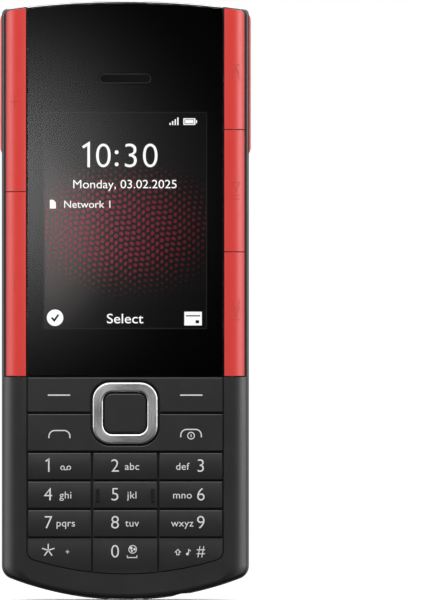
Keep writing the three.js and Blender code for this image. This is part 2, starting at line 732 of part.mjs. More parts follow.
const capOuterPoints = [
  point(lipHalf, lipFrontY),
  point(capHalf, lipFrontY),
  ...arc(capHalf - capRound, capBackY - capRound, capRound, 0, quarterTurn, capRoundSteps),
];
const mirrored = (points) => points.map((p) => point(-p.x, p.y)).reverse();
const capInnerPoints = [
  point(lipHalf, lipBackY),
  point(capInnerHalf, lipBackY),
  point(capInnerHalf, capInnerY - innerRound),
  point(capInnerHalf - innerRound, capInnerY),
];
const capProfile = [...capOuterPoints, ...mirrored(capOuterPoints), ...capInnerPoints.map((p) => point(-p.x, p.y)),
  ...capInnerPoints.toReversed()];
const capPlan = slab({
  half: capHalf,
  low: -capHigh,
  high: -capLow,
  lowRadius: capHighRadius,
  highRadius: capLowRadius,
  corner: capCorner,
}).map((p) => point(-p.x, -p.y));
const chevronHalf = 4.2;
const chevronDrop = 2.2;
const chevronStroke = 1.05;
const chevronPitch = 3.9;
const chevronTop = 9.2;
const chevronDepth = 0.3;
const chevron = (z) => plate([
  point(0, z - chevronDrop),
  point(chevronHalf, z),
  point(chevronHalf, z + chevronStroke),
  point(0, z + chevronStroke - chevronDrop),
  point(-chevronHalf, z + chevronStroke),
  point(-chevronHalf, z),
], capBackY - chevronDepth, capBackY + overrun);
const chevronZ = capLow + chevronTop + chevronPitch;
add('slider_cover', bar(capProfile, capLow - overrun, capHigh + overrun)
  .intersect(plate(capPlan, lipFrontY - overrun, capBackY + overrun))
  .subtract(chevron(chevronZ)).subtract(chevron(chevronZ - chevronPitch)), redPlastic);

// Earbuds in their tray
const budRadius = 7;
const budInset = 0.55;
const headX = coverHalf - budRadius - budInset;
const budDepth = 7.4;
const budWallShare = 0.32;
const budBackY = crestY - seat;
const budFrontY = budBackY - budDepth;
const budZ = (bayLow + bayHigh) / 2;
const tipRadius = 3.9;
const nozzleRadius = 1.9;
const tipMiddle = 1.2;
const tipEnd = headX - budRadius - seat;
const tipLength = tipEnd - tipMiddle;
const tipY = (budFrontY + budBackY) / 2;

// The bud's head as a flattened dome: a superellipse from the rim of its flat front to the middle of its back.
function budProfile() {
  const middle = budFrontY + budDepth * budWallShare;
  const low = Array.from({ length: sideSteps / 2 + 1 }, (_, i) => {
    const turn = -quarterTurn + (quarterTurn * i) / (sideSteps / 2);
    return point(budRadius * Math.sqrt(Math.cos(turn)), middle + (middle - budFrontY) * Math.sin(turn));
  });
  const high = Array.from({ length: sideSteps }, (_, i) => {
    const turn = (quarterTurn * (i + 1)) / sideSteps;
    return point(budRadius * Math.sqrt(Math.max(Math.cos(turn), 0)), middle + (budBackY - middle) * Math.sin(turn));
  });
  const points = [...low, ...high];
  points[0].x = 0;
  points.at(-1).x = 0;
  return points;
}
function nozzle(side, radius, from, to, sides = roundSides) {
  const geometry = new THREE.CylinderGeometry(radius, radius, to - from, sides);
  return solid(geometry.rotateZ(quarterTurn).translate((side * (from + to)) / 2, tipY, budZ));
}
const bud = (side) => solid(new THREE.LatheGeometry(budProfile(), roundSides).translate(side * headX, 0, budZ))
  .add(nozzle(side, nozzleRadius, tipMiddle + tipLength / 2, headX));
add('earbud_left', bud(-1), earbudPlastic);
add('earbud_right', bud(1), earbudPlastic);

// A soft tip: a mushroom with a bore that the nozzle enters.
function earTip(side) {
  const profile = [
    point(0, tipMiddle),
    point(tipRadius / 2, tipMiddle),
    point(tipRadius - keyThickness / 2, tipMiddle + tipLength / 4),
    point(tipRadius, tipMiddle + tipLength / 2),
    point(tipRadius - keyEdge, tipEnd),
    point(0, tipEnd),
  ];
  const body = solid(new THREE.LatheGeometry(profile, roundSides).rotateZ(-side * quarterTurn).translate(0, tipY, budZ));
  return body.subtract(nozzle(side, nozzleRadius + seat, tipMiddle + tipLength / 2 - seat, headX));
}
add('ear_tip_left', earTip(-1), darkRubber);
add('ear_tip_right', earTip(1), darkRubber);

const trayRise = 1.3;
const trayBackY = tipY + trayRise;
const trayFrontY = rearFrontY;
const trayHalf = coverHalf - slideGap;
const wellRoom = seat;
function trayWell(side) {
  const head = pin(side * headX, budZ, budRadius + wellRoom, budFrontY - wellRoom, trayBackY + overrun, roundSides);
  const channel = nozzle(side, tipRadius + wellRoom, tipMiddle - wellRoom, headX);
  const reach = [side * (tipMiddle - wellRoom), side * headX].sort((a, b) => a - b);
  const mouth = box(reach[0], reach[1], tipY, trayBackY + overrun, budZ - tipRadius - wellRoom, budZ + tipRadius + wellRoom);
  return wasm.Manifold.union([head, channel, mouth]);
}
add('bay_tray', box(-trayHalf, trayHalf, trayFrontY, trayBackY, bayLow + slideGap, bayHigh - slideGap)
  .subtract(trayWell(-1)).subtract(trayWell(1)), blackPlastic);

// Main board, battery and what is soldered to the board
const boardInset = 1.2;
const boardHalf = chassisHalf - chassisWall - boardInset;
const boardLow = 5.6;
const boardShoulder = 10.9;
const mainBoard = plate(slab({ half: boardHalf, low: boardShoulder, high: coverHigh - bulkhead - seat, corner: bodyCorner }),
  mainBoardY, mainBoardBackY)
  .add(box(-boardTab, boardTab, mainBoardY, mainBoardBackY, boardLow, boardShoulder + bodyCorner))
  .subtract(box(-usbHalf - seat, usbHalf + seat, mainBoardY - overrun, mainBoardBackY + overrun,
    0, usbLength + seat + flankStep))
  .subtract(box(jackX - jackRadius - seat, jackX + jackRadius + seat, mainBoardY - overrun, mainBoardBackY + overrun,
    0, jackLength + jackRadius));
add('main_board', mainBoard, boardGreen);

add('battery', plate(shifted(rectangle(batteryHalf, (batteryHigh - batteryLow) / 2, bodyCorner), 0,
  (batteryLow + batteryHigh) / 2), pocketY + seat, deckY), cellWrap);
add('battery_contacts', box(-contactHalf, contactHalf, pocketFrontY, pocketY + (deckY - pocketY) / 2,
  batteryHigh + seat, batteryHigh + seat + contactHeight), brushedSteel);

const usbMouth = flankStep / 3;
add('usb_socket', bar(usbSection(0), usbMouth, usbMouth + usbLength)
  .subtract(bar(usbSection(-usbWall), usbMouth - overrun, usbMouth + usbLength - flankStep))
  .add(box(-usbHalf / 2 - usbWall, usbHalf / 2 + usbWall, usbY - usbWall, usbY + usbWall,
    usbMouth + flankStep, usbMouth + usbLength - usbWall)), brushedSteel);
const jackMouth = 2;
add('headphone_jack', column(jackX, jackY, jackRadius, jackMouth, jackMouth + jackLength, roundSides)
  .subtract(column(jackX, jackY, jackBore, jackMouth - overrun, jackMouth + jackLength - jackRadius)), darkRubber);

const loudspeakerMargin = 1.8;
const loudspeakerHalf = jackX - jackRadius - loudspeakerMargin;
const loudspeakerHeight = 6;
const loudspeaker = (z) => plate(shifted(rectangle(loudspeakerHalf, loudspeakerHeight / 2, bodyCorner / 2), 0, z),
  pocketFrontY, deckFrontY - seat);
add('loudspeaker_upper', loudspeaker(slotUpperZ), darkSteel);
add('loudspeaker_lower', loudspeaker(slotLowerZ), darkSteel);

const motorRadius = 1.9;
const motorLength = 7.6;
const motorLow = screwZ + screwPost + seat;
add('vibration_motor', column(-(boardHalf - motorRadius - seat), pocketFrontY + motorRadius, motorRadius,
  motorLow, motorLow + motorLength), brushedSteel);

const simWidth = 12.6;
const simLeft = boardHalf - simWidth - seat;
const simHeight = 9.6;
const simThickness = 1.4;
const simLow = pocketHigh + pocketWall + seat;
add('sim_card_holder', box(simLeft, simLeft + simWidth, pocketFrontY, pocketFrontY + simThickness, simLow, simLow + simHeight)
  .subtract(box(simLeft + usbWall, simLeft + simWidth - usbWall, pocketFrontY + usbWall,
    pocketFrontY + simThickness - usbWall, simLow - overrun, simLow + simHeight - usbWall)), brushedSteel);

// Two screws under the battery cover join the rear housing to the front
[['housing_screw_left', -screwX], ['housing_screw_right', screwX]].forEach(([name, x]) => {
  add(name, pin(x, screwZ, shankRadius, frontBackY - shankDepth, deckY - keyEdge)
    .add(pin(x, screwZ, headRadius, deckY - headHeight, deckY)), brushedSteel);
});

export default phone;
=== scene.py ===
# A candybar phone with a sliding cover over its earbuds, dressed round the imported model.
# It stands in the model's own frame: upright, the screen towards -Y. Sizes are in mm unless noted.

import json
import math

import bmesh
import bpy
import numpy as np
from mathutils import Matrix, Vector


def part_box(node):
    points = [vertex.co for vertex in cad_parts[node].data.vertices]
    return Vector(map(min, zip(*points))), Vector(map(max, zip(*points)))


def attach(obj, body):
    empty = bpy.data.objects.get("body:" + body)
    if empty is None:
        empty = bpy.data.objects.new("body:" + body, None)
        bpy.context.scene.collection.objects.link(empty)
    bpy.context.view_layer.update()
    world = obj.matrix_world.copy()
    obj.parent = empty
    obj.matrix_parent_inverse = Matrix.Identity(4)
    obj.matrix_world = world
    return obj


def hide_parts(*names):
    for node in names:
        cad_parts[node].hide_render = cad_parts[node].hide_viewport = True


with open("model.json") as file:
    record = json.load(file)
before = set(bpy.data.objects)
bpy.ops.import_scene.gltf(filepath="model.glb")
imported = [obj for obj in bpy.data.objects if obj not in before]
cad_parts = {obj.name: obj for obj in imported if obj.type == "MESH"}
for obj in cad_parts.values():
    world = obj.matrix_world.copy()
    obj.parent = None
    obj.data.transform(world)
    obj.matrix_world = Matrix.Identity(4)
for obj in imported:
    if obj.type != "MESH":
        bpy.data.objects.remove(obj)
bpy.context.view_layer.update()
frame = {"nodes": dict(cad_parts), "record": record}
nodes = frame["nodes"]
scene = bpy.context.scene
mm = 0.001
print("frame loaded,", len(nodes), "nodes")


# Shapes

straight = 1e6
quarterTurn = math.pi / 2


def arcPoints(centre, radius, start, end, steps):
    # The centre plus the radius times the cosine and sine of evenly spaced angles.
    turn = np.linspace(start, end, steps + 1)
    return np.column_stack((centre[0] + radius * np.cos(turn), centre[1] + radius * np.sin(turn)))


def circle(x, z, radius, steps=28):
    # A whole turn of an arc, without its last point.
    return arcPoints((x, z), radius, 0, 2 * math.pi, steps)[:-1]


def endPoints(half, reach, radius, corner, arcSteps, cornerSteps):
    # One end of an outline: a corner arc, an end arc whose middle reaches a height, and the other corner arc.
    centre = reach - radius
    rise = math.sqrt((radius - corner) ** 2 - (half - corner) ** 2)
    turn = math.atan2(rise, half - corner)
    return np.vstack((
        arcPoints((half - corner, centre + rise), corner, 0, turn, cornerSteps),
        arcPoints((0, centre), radius, turn, math.pi - turn, arcSteps)[1:-1],
        arcPoints((corner - half, centre + rise), corner, math.pi - turn, math.pi, cornerSteps),
    ))


def slab(half, low, high, lowRadius=straight, highRadius=straight, lowCorner=0.3, highCorner=0.3,
         arcSteps=48, cornerSteps=8):
    # A closed outline in X and Z: two straight sides and two ends, the low end turned half round.
    top = endPoints(half, high, highRadius, highCorner, arcSteps, cornerSteps)
    bottom = endPoints(half, -low, lowRadius, lowCorner, arcSteps, cornerSteps)
    return np.vstack((top, -bottom))


def rounded(half, halfHeight, corner, x=0.0, z=0.0, cornerSteps=10):
    # A rectangle with round corners about a point.
    return slab(half, -halfHeight, halfHeight, lowCorner=corner, highCorner=corner, arcSteps=2,
                cornerSteps=cornerSteps) + (x, z)


def pill(length, height, grow=0.0, x=0.0, z=0.0):
    # A rectangle whose corners are nearly half its height, with all of it grown outward.
    return rounded(length / 2 + grow, height / 2 + grow, height / 2 + grow - 0.005, x, z, 16)


def skin(points, rows, columns, looped=False):
    # Quads over a grid of points, and a cap at each end unless the last row meets the first.
    i = np.arange(rows if looped else rows - 1)[:, None]
    j = np.arange(columns)[None, :]
    nextI = (i + 1) % rows
    nextJ = (j + 1) % columns
    corners = (i * columns + j, nextI * columns + j, nextI * columns + nextJ, i * columns + nextJ)
    faces = np.stack(np.broadcast_arrays(*corners), -1).reshape(-1, 4).tolist()
    if not looped:
        faces += [list(range(columns)), list(range(len(points) - columns, len(points)))]
    return points, faces


def edged(front, back, frontRound=0.0, backRound=0.0, steps=5):
    # Down a wall: a quarter circle at the front edge, the straight, and a quarter circle at the back edge.
    turn = np.linspace(0, quarterTurn, steps + 1)
    near = np.array([[0.0, front]])
    far = np.array([[0.0, back]])
    if frontRound:
        near = np.column_stack((frontRound * (1 - np.sin(turn)), front + frontRound * (1 - np.cos(turn))))
    if backRound:
        far = np.column_stack((backRound * (1 - np.cos(turn)), back - backRound * (1 - np.sin(turn))))
    return np.vstack((near, far))


def layered(rings, depths, looped=False):
    # Outlines of as many points each, laid one behind another at their depths.
    points = np.concatenate([np.column_stack((ring[:, 0], np.full(len(ring), depth), ring[:, 1]))
                             for ring, depth in zip(rings, depths)])
    return skin(points, len(rings), len(rings[0]), looped)


def stacked(outlineOf, profile, looped=False):
    # A profile carried round an outline: its first number draws the outline in, the second is the depth.
    return layered([outlineOf(inset) for inset, _ in profile], [depth for _, depth in profile], looped)


def plate(outline, frontY, backY):
    return layered([outline, outline], [frontY, backY])


def drawnUp(section, low, high):
    # A section in X and Y repeated at two heights.
    rows = [np.column_stack((section, np.full(len(section), level))) for level in (low, high)]
    return skin(np.concatenate(rows), 2, len(section))


def block(lowX, highX, frontY, backY, low, high):
    return drawnUp(np.array([(lowX, frontY), (highX, frontY), (highX, backY), (lowX, backY)]), low, high)


def turnedAbout(profile, centre, steps=72, alongX=False, looped=False):
    # A profile of radius and height turned about Y or X: the radius times the cosine and sine of the angle.
    profile = np.asarray(profile, float)
    angle = np.linspace(0, 2 * math.pi, steps, endpoint=False)
    radius = profile[:, :1]
    rows = (radius * np.cos(angle), profile[:, 1:] + 0 * angle, radius * np.sin(angle))
    points = np.stack(rows, -1).reshape(-1, 3)
    if alongX:
        points = points[:, [1, 0, 2]]
    return skin(points + centre, len(profile), steps, looped)


def carriedAlong(path, section, closed=False):
    # A section carried along a path in X and Z: its first number is the offset to the path's left along the
    # mitred normal, its second the depth.
    path = np.asarray(path, float)
    step = (np.roll(path, -1, 0) if closed else np.vstack((path[1:], path[-1:] * 2 - path[-2:-1]))) - path
    step = step / np.linalg.norm(step, axis=1, keepdims=True)
    before = np.roll(step, 1, 0) if closed else np.vstack((step[:1], step[:-1]))
    middle = step + before
    middle = middle / np.linalg.norm(middle, axis=1, keepdims=True)
    stretch = 1 / np.maximum((middle * step).sum(1), 0.4)
    normal = np.column_stack((-middle[:, 1], middle[:, 0])) * stretch[:, None]
    section = np.asarray(section, float)
    flat = path[:, None, :] + normal[:, None, :] * section[None, :, :1]
    depth = np.broadcast_to(section[None, :, 1], flat.shape[:2])
    points = np.stack((flat[..., 0], depth, flat[..., 1]), -1).reshape(-1, 3)
    return skin(points, len(path), len(section), closed)


def together(*shapes):
    # Several shapes as one set of points and faces.
    points = np.concatenate([shape[0] for shape in shapes])
    starts = np.cumsum([0] + [len(shape[0]) for shape in shapes[:-1]])
    faces = [[int(i + start) for i in face] for start, shape in zip(starts, shapes) for face in shape[1]]
    return points, faces


def makePiece(name, shape):
    # Doubles are merged and every closed shell is turned to face outwards.
    mesh = bpy.data.meshes.new(name)
    mesh.from_pydata((shape[0] * mm).tolist(), [], shape[1])
    shell = bmesh.new()
    shell.from_mesh(mesh)
    bmesh.ops.remove_doubles(shell, verts=shell.verts, dist=1e-8)
    bmesh.ops.recalc_face_normals(shell, faces=shell.faces)
    shell.to_mesh(mesh)
    shell.free()
    piece = bpy.data.objects.new(name, mesh)
    scene.collection.objects.link(piece)
    return piece


def settle(piece):
    # Puts the shape that the modifiers give into the mesh itself.
    made = bpy.data.meshes.new_from_object(piece.evaluated_get(bpy.context.evaluated_depsgraph_get()))
    old = piece.data
    piece.modifiers.clear()
    piece.data = made
    bpy.data.meshes.remove(old)
    made.name = piece.name


def carve(piece, *tools, how="DIFFERENCE"):
    # Cuts each tool from the piece, joins it to the piece, or keeps what both share.
    cutters = [tool if isinstance(tool, bpy.types.Object) else makePiece("cutter", tool) for tool in tools]
    for cutter in cutters:
        step = piece.modifiers.new("carve", "BOOLEAN")
        step.operation = how
        step.solver = "EXACT"
        step.object = cutter
    settle(piece)
    for cutter in cutters:
        mesh = cutter.data
        bpy.data.objects.remove(cutter)
        bpy.data.meshes.remove(mesh)


def rounding(piece, width, angle, segments):
    # Rounds the edges that are sharper than the angle.
    bevel = piece.modifiers.new("soften", "BEVEL")
    bevel.width = width * mm
    bevel.segments = segments
    bevel.limit_method = "ANGLE"
    bevel.angle_limit = math.radians(angle)
    settle(piece)


def printPiece(name, shape, body, material):
    # Print stays flat and sharp, so it only gets its material.
    piece = makePiece(name, shape)
    piece.data.materials.append(material)
    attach(piece, body)


def finishPiece(piece, body, slot, *stoodFor, material=None, soften=0.0, angle=35, segments=3):
    # Rounds the edges, gives a finish, and lets the piece ride its body in place of the nodes it stands for.
    piece.data.materials.clear()
    piece.data.materials.append(material or finishes[slot])
    if soften:
        rounding(piece, soften, angle, segments)
    piece.data.shade_smooth()
    piece.data.set_sharp_from_angle(angle=math.radians(angle))
    smooth = piece.modifiers.new("smooth", "WEIGHTED_NORMAL")
    smooth.keep_sharp = True
    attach(piece, body)
    if stoodFor:
        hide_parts(*stoodFor)


def addPiece(name, shape, body, slot, *stoodFor, **ways):
    finishPiece(makePiece(name, shape), body, slot, *stoodFor, **ways)


def cadBox(name):
    low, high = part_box(name)
    return np.array(low) / mm, np.array(high) / mm


# Finishes. A signal is a shader value, with which sums and products are written as with numbers.

class Signal:
    def __init__(self, socket):
        self.socket = socket
        self.tree = socket.id_data

    def __add__(self, other):
        return maths("ADD", self, other)

    def __sub__(self, other):
        return maths("SUBTRACT", self, other)

    def __mul__(self, other):
        return maths("MULTIPLY", self, other)

    def __truediv__(self, other):
        return maths("DIVIDE", self, other)


def feed(socket, value):
    # A signal is linked and anything else is set; a colour of three numbers is made opaque.
    if isinstance(value, Signal):
        value.tree.links.new(value.socket, socket)
    elif socket.type == "RGBA" and len(value) == 3:
        socket.default_value = (*value, 1)
    else:
        socket.default_value = value


def wired(tree, kind, inputs, output=0, **settings):
    # A node with its settings made and its inputs fed, as the signal of one of its outputs.
    made = tree.nodes.new("ShaderNode" + kind)
    for name, value in settings.items():
        setattr(made, name, value)
    for name, value in inputs.items():
        feed(made.inputs[name], value)
    return Signal(made.outputs[output])


def maths(operation, *values, clamp=False):
    tree = next(value.tree for value in values if isinstance(value, Signal))
    return wired(tree, "Math", dict(enumerate(values)), operation=operation, use_clamp=clamp)


def lengthOf(first, second):
    # The square root of the sum of the squares.
    return maths("SQRT", first * first + second * second)


def blended(share, first, second):
    return wired(share.tree, "Mix", {0: share, 6: first, 7: second}, 2, data_type="RGBA")


def noiseOver(place, scale, detail=2.0, roughness=0.5):
    inputs = {"Vector": place, "Scale": scale, "Detail": detail, "Roughness": roughness}
    return wired(place.tree, "TexNoise", inputs, "Fac")


def spread(value, fromLow, fromHigh, toLow=0.0, toHigh=1.0, smooth=False):
    # The value's way between two numbers, laid between two others, straight or easing in and out.
    inputs = {"Value": value, "From Min": fromLow, "From Max": fromHigh, "To Min": toLow, "To Max": toHigh}
    kind = "SMOOTHSTEP" if smooth else "LINEAR"
    return wired(value.tree, "MapRange", inputs, "Result", interpolation_type=kind)


def moved(place, location=(0, 0, 0), rotation=(0, 0, 0), scale=(1, 1, 1)):
    inputs = {"Vector": place, "Location": location, "Rotation": rotation, "Scale": scale}
    return wired(place.tree, "Mapping", inputs)


def objectPlace(tree):
    return wired(tree, "TexCoord", {}, "Object")


def apart(vector):
    made = vector.tree.nodes.new("ShaderNodeSeparateXYZ")
    feed(made.inputs[0], vector)
    return [Signal(part) for part in made.outputs]


def bumped(height, depth):
    inputs = {"Strength": 0.6, "Distance": depth * mm, "Height": height}
    return wired(height.tree, "Bump", inputs, "Normal")


colourKind = "NodeSocketColor"
numberKind = "NodeSocketFloat"


def startGroup(name, **inputs):
    # A shared group that takes a colour and numbers, and gives a colour, a roughness and a height.
    group = bpy.data.node_groups.new(name, "ShaderNodeTree")
    for label, value in inputs.items():
        kind = colourKind if label == "Colour" else numberKind
        group.interface.new_socket(name=label, in_out="INPUT", socket_type=kind).default_value = value
    for label, kind in (("Colour", colourKind), ("Roughness", numberKind), ("Height", numberKind)):
        group.interface.new_socket(name=label, in_out="OUTPUT", socket_type=kind)
    sockets = group.nodes.new("NodeGroupInput").outputs
    return group, {label: Signal(socket) for label, socket in zip(inputs, sockets)}


def endGroup(group, given, shade, roughness, height):
    # The colour given is scaled by the shade.
    tint = wired(group, "VectorMath", {0: given["Colour"], "Scale": shade}, operation="SCALE")
    out = group.nodes.new("NodeGroupOutput").inputs
    for label, value in (("Colour", tint), ("Roughness", roughness), ("Height", height)):
        feed(out[label], value)
    return group


def mouldedGrain():
    # Moulded plastic: fine spark grain, a slow drift of colour and handling marks in the gloss.
    group, given = startGroup("mouldedGrain", Colour=(0.5, 0.5, 0.5, 1), Drift=0.05, Grain=3500.0,
                              Roughness=0.4, Handling=0.06)
    place = objectPlace(group)
    grain = noiseOver(place, given["Grain"], 2.0, 0.6)
    marks = spread(noiseOver(place, 160.0, 5.0, 0.62), 0.4, 0.75, smooth=True)
    drift = (noiseOver(place, 45.0, 3.0) - 0.5) * given["Drift"] + 1.0
    roughness = given["Roughness"] + marks * given["Handling"]
    return endGroup(group, given, drift + (grain - 0.5) * 0.06, roughness, grain)


def brushedLines():
    # Brushed metal: noise drawn out along one direction, with fine lines in colour, gloss and height.
    group, given = startGroup("brushedLines", Colour=(0.6, 0.6, 0.6, 1), Contrast=0.2, Roughness=0.3)
    place = moved(objectPlace(group), rotation=(0, math.radians(38), 0), scale=(1, 1, 0.03))
    lines = noiseOver(place, 9000.0, 3.0, 0.7)
    off = (lines - 0.5) * given["Contrast"]
    return endGroup(group, given, off + 1.0, given["Roughness"] + off * 0.5, lines)


grainGroup = mouldedGrain()
brushedGroup = brushedLines()


def makeMaterial(name, surfaceOf):
    # The function builds its nodes and names what goes into each of the surface's sockets.
    material = bpy.data.materials.new(name)
    material.use_nodes = True
    surface = material.node_tree.nodes["Principled BSDF"].inputs
    for label, value in surfaceOf(material.node_tree).items():
        feed(surface[label], value)
    return material


def grouped(tree, group, depth, **values):
    # What a shared group gives for a surface, with the height as relief.
    made = tree.nodes.new("ShaderNodeGroup")
    made.node_tree = group
    for label, value in values.items():
        feed(made.inputs[label], value)
    colour, roughness, height = (Signal(socket) for socket in made.outputs)
    return {"Base Color": colour, "Roughness": roughness, "Normal": bumped(height, depth)}


def plastic(name, colour, roughness, grain=3500.0, depth=0.006, drift=0.05, handling=0.06, specular=0.5,
            coat=0.0):
    return makeMaterial(name, lambda tree: {
        **grouped(tree, grainGroup, depth, Colour=colour, Drift=drift, Grain=grain, Roughness=roughness,
                  Handling=handling),
        "Specular IOR Level": specular, "Coat Weight": coat, "Coat Roughness": 0.08})


def metal(name, colour, roughness, contrast=0.2):
    return makeMaterial(name, lambda tree: {
        **grouped(tree, brushedGroup, 0.004, Colour=colour, Contrast=contrast, Roughness=roughness),
        "Metallic": 1.0})


def paint(name, colour, roughness=0.5, specular=0.5):
    # Ink: fine noise between the colour and a darker one, and in the gloss.
    dark = tuple(channel * 0.93 for channel in colour)

    def surfaceOf(tree):
        ink = noiseOver(objectPlace(tree), 2500.0)
        return {"Specular IOR Level": specular, "Base Color": blended(ink, dark, colour),
                "Roughness": spread(ink, 0.3, 0.7, roughness - 0.05, roughness + 0.05)}

    return makeMaterial(name, surfaceOf)


def circuitBoard(tree):
    # Solder mask with copper tracks under it: a fine brick pattern for tracks and noise for the pads.
    place = objectPlace(tree)
    inputs = {"Vector": moved(place, rotation=(quarterTurn, 0, 0)), "Scale": 260.0, "Mortar Size": 0.03}
    tracks = wired(tree, "TexBrick", inputs, "Fac")
    pads = spread(noiseOver(place, 900.0, 1.0), 0.62, 0.66)
    mask = blended(tracks, (0.012, 0.068, 0.035), (0.02, 0.11, 0.055))
    return {"Base Color": blended(pads, mask, (0.45, 0.36, 0.16)), "Normal": bumped(tracks, 0.02),
            "Roughness": spread(noiseOver(place, 700.0), 0.3, 0.7, 0.35, 0.5)}


def batteryWrap(tree):
    # Heat-shrunk film: slow creases that catch the light.
    creases = noiseOver(moved(objectPlace(tree), scale=(1, 1, 0.3)), 300.0, 4.0)
    return {"Base Color": blended(creases, (0.06, 0.064, 0.073), (0.085, 0.09, 0.1)),
            "Roughness": spread(creases, 0.3, 0.7, 0.32, 0.5), "Normal": bumped(creases, 0.03)}


def clearGlass(tree):
    # A clear pane whose gloss is broken by faint wipe marks.
    place = moved(objectPlace(tree), rotation=(0, math.radians(25), 0), scale=(1, 1, 0.2))
    wipes = noiseOver(place, 220.0, 4.0)
    return {"Base Color": (0.97, 0.97, 0.97), "Transmission Weight": 1.0, "IOR": 1.5,
            "Roughness": spread(wipes, 0.45, 0.8, 0.01, 0.05)}


def litSymbols(tree):
    # Lit cells: fine noise between two whites.
    cells = noiseOver(objectPlace(tree), 4000.0)
    return {"Base Color": (0.02, 0.02, 0.02), "Emission Color": blended(cells, (0.94, 0.94, 0.95), (1, 1, 1)),
            "Emission Strength": 1.05, "Specular IOR Level": 0.0}


window = {
    "half": 21.9, "low": 50.3, "high": 133.75, "highRadius": 184.1, "corner": 0.6, "back": -6.35, "edge": 0.1,
    "collar": (0.03, 0.45, -7.03, -6.46), "mask": (0.12, -6.62, -6.44), "earpieceZ": 116.86,
    "earpieceLength": 11.7, "earpieceHeight": 2.3, "litLow": 60.77, "litHigh": 109.4, "litLeft": -18.27,
    "litRight": 18.36,
}
wallpaper = {
    "pitch": 1.28, "slant": 24, "sway": 0.45, "swayLength": 8.5, "colour": (0.225, 0.012, 0.027),
    "ground": (0.0022, 0.0021, 0.0023), "haze": (0.05, 0.043, 0.042), "middle": (0.0, 83.5),
    "reach": (31.0, 18.5), "hazeMiddle": (-19.0, 80.0), "hazeReach": (18.0, 25.0), "dot": 0.35, "edge": 0.09,
    "sides": (1.25, 0.3), "faintest": 0.15,
}


def ovalGlow(x, z, middle, reach):
    # One at the middle of an oval and nought past its edge.
    across, up = [(place - centre * mm) / (span * mm) for place, centre, span in zip((x, z), middle, reach)]
    return spread(lengthOf(across, up), 1.0, 0.25, smooth=True)


def litScreen(tree):
    # Round dots in rows that ripple: each row's height sways with a sine across. The dots grow towards the
    # middle of a soft oval and go from rose at the left to dark crimson at the right.
    place = objectPlace(tree)
    x, _, z = apart(place)
    glow = ovalGlow(x, z, wallpaper["middle"], wallpaper["reach"])
    haze = ovalGlow(x, z, wallpaper["hazeMiddle"], wallpaper["hazeReach"])
    across, _, up = apart(moved(place, rotation=(0, math.radians(wallpaper["slant"]), 0),
                                scale=(1 / (wallpaper["pitch"] * mm),) * 3))
    wave = maths("SINE", across * (2 * math.pi * wallpaper["pitch"] / wallpaper["swayLength"]))
    row = up + wave * wallpaper["sway"]
    offX = maths("FRACT", across + maths("FLOOR", row) * 0.5) - 0.5
    offZ = maths("FRACT", row) - 0.5
    past = lengthOf(offX, offZ) - maths("SQRT", glow) * wallpaper["dot"]
    dot = spread(past, wallpaper["edge"], -wallpaper["edge"], smooth=True)
    side = spread(x, window["litLeft"] * mm, window["litRight"] * mm, *wallpaper["sides"])
    faintest = wallpaper["faintest"]
    lit = maths("MULTIPLY", dot * side, glow * (1 - faintest) + faintest, clamp=True)
    ground = blended(haze, wallpaper["ground"], wallpaper["haze"])
    return {"Base Color": (0.003, 0.003, 0.003), "Specular IOR Level": 0.0,
            "Emission Color": blended(lit, ground, wallpaper["colour"]), "Emission Strength": 1.0}


cameraPlace = (0.0, 86.5)
flashPlace = (-9.9, 86.5)


def offFrom(tree, centre):
    # How far across and up a place is from a point of the back.
    x, _, z = apart(moved(objectPlace(tree), location=(-centre[0] * mm, 0, -centre[1] * mm)))
    return x, z


def flashLens(tree):
    # A diffuser over a yellow phosphor square: the colour goes from yellow at the middle to cream at the rim.
    far = maths("MAXIMUM", *[maths("ABSOLUTE", part) for part in offFrom(tree, flashPlace)])
    share = spread(far, 0.1 * mm, 1.5 * mm, smooth=True)
    return {"Base Color": blended(share, (0.66, 0.52, 0.16), (0.72, 0.70, 0.52)), "Coat Weight": 0.6,
            "Roughness": spread(noiseOver(objectPlace(tree), 1500.0), 0.3, 0.7, 0.12, 0.22)}


def lensCoating(tree):
    # Dark glass whose coating is blue at the middle and dies away with the distance from it.
    ring = spread(lengthOf(*offFrom(tree, cameraPlace)), 0.2 * mm, 1.15 * mm, smooth=True)
    return {"Base Color": blended(ring, (0.02, 0.10, 0.42), (0.004, 0.004, 0.012)), "Roughness": 0.04,
            "Coat Weight": 1.0, "Coat Roughness": 0.02}


navZ = 42.0
ringForm = {
    "rim": (7.25, 6.88, 3.9), "hole": (4.95, 4.7, 2.1), "bevelY": -7.41, "bevelEdge": 0.012, "shade": 0.5,
    "turn": 0.31, "stretches": 3.0, "lines": (3.4, 2.2), "lineShare": 1.7, "dark": (0.3, 0.3, 0.303),
    "bright": (0.98, 0.98, 0.985), "bevel": (0.62, 0.62, 0.625), "polish": 0.14,
    "profile": [(0, -6.1), (0, -7.12), (0.03, -7.24), (0.13, -7.415), (0.17, -7.43), (0.83, -7.43),
                (0.87, -7.415), (0.97, -7.24), (1, -7.12), (1, -6.1)],
}


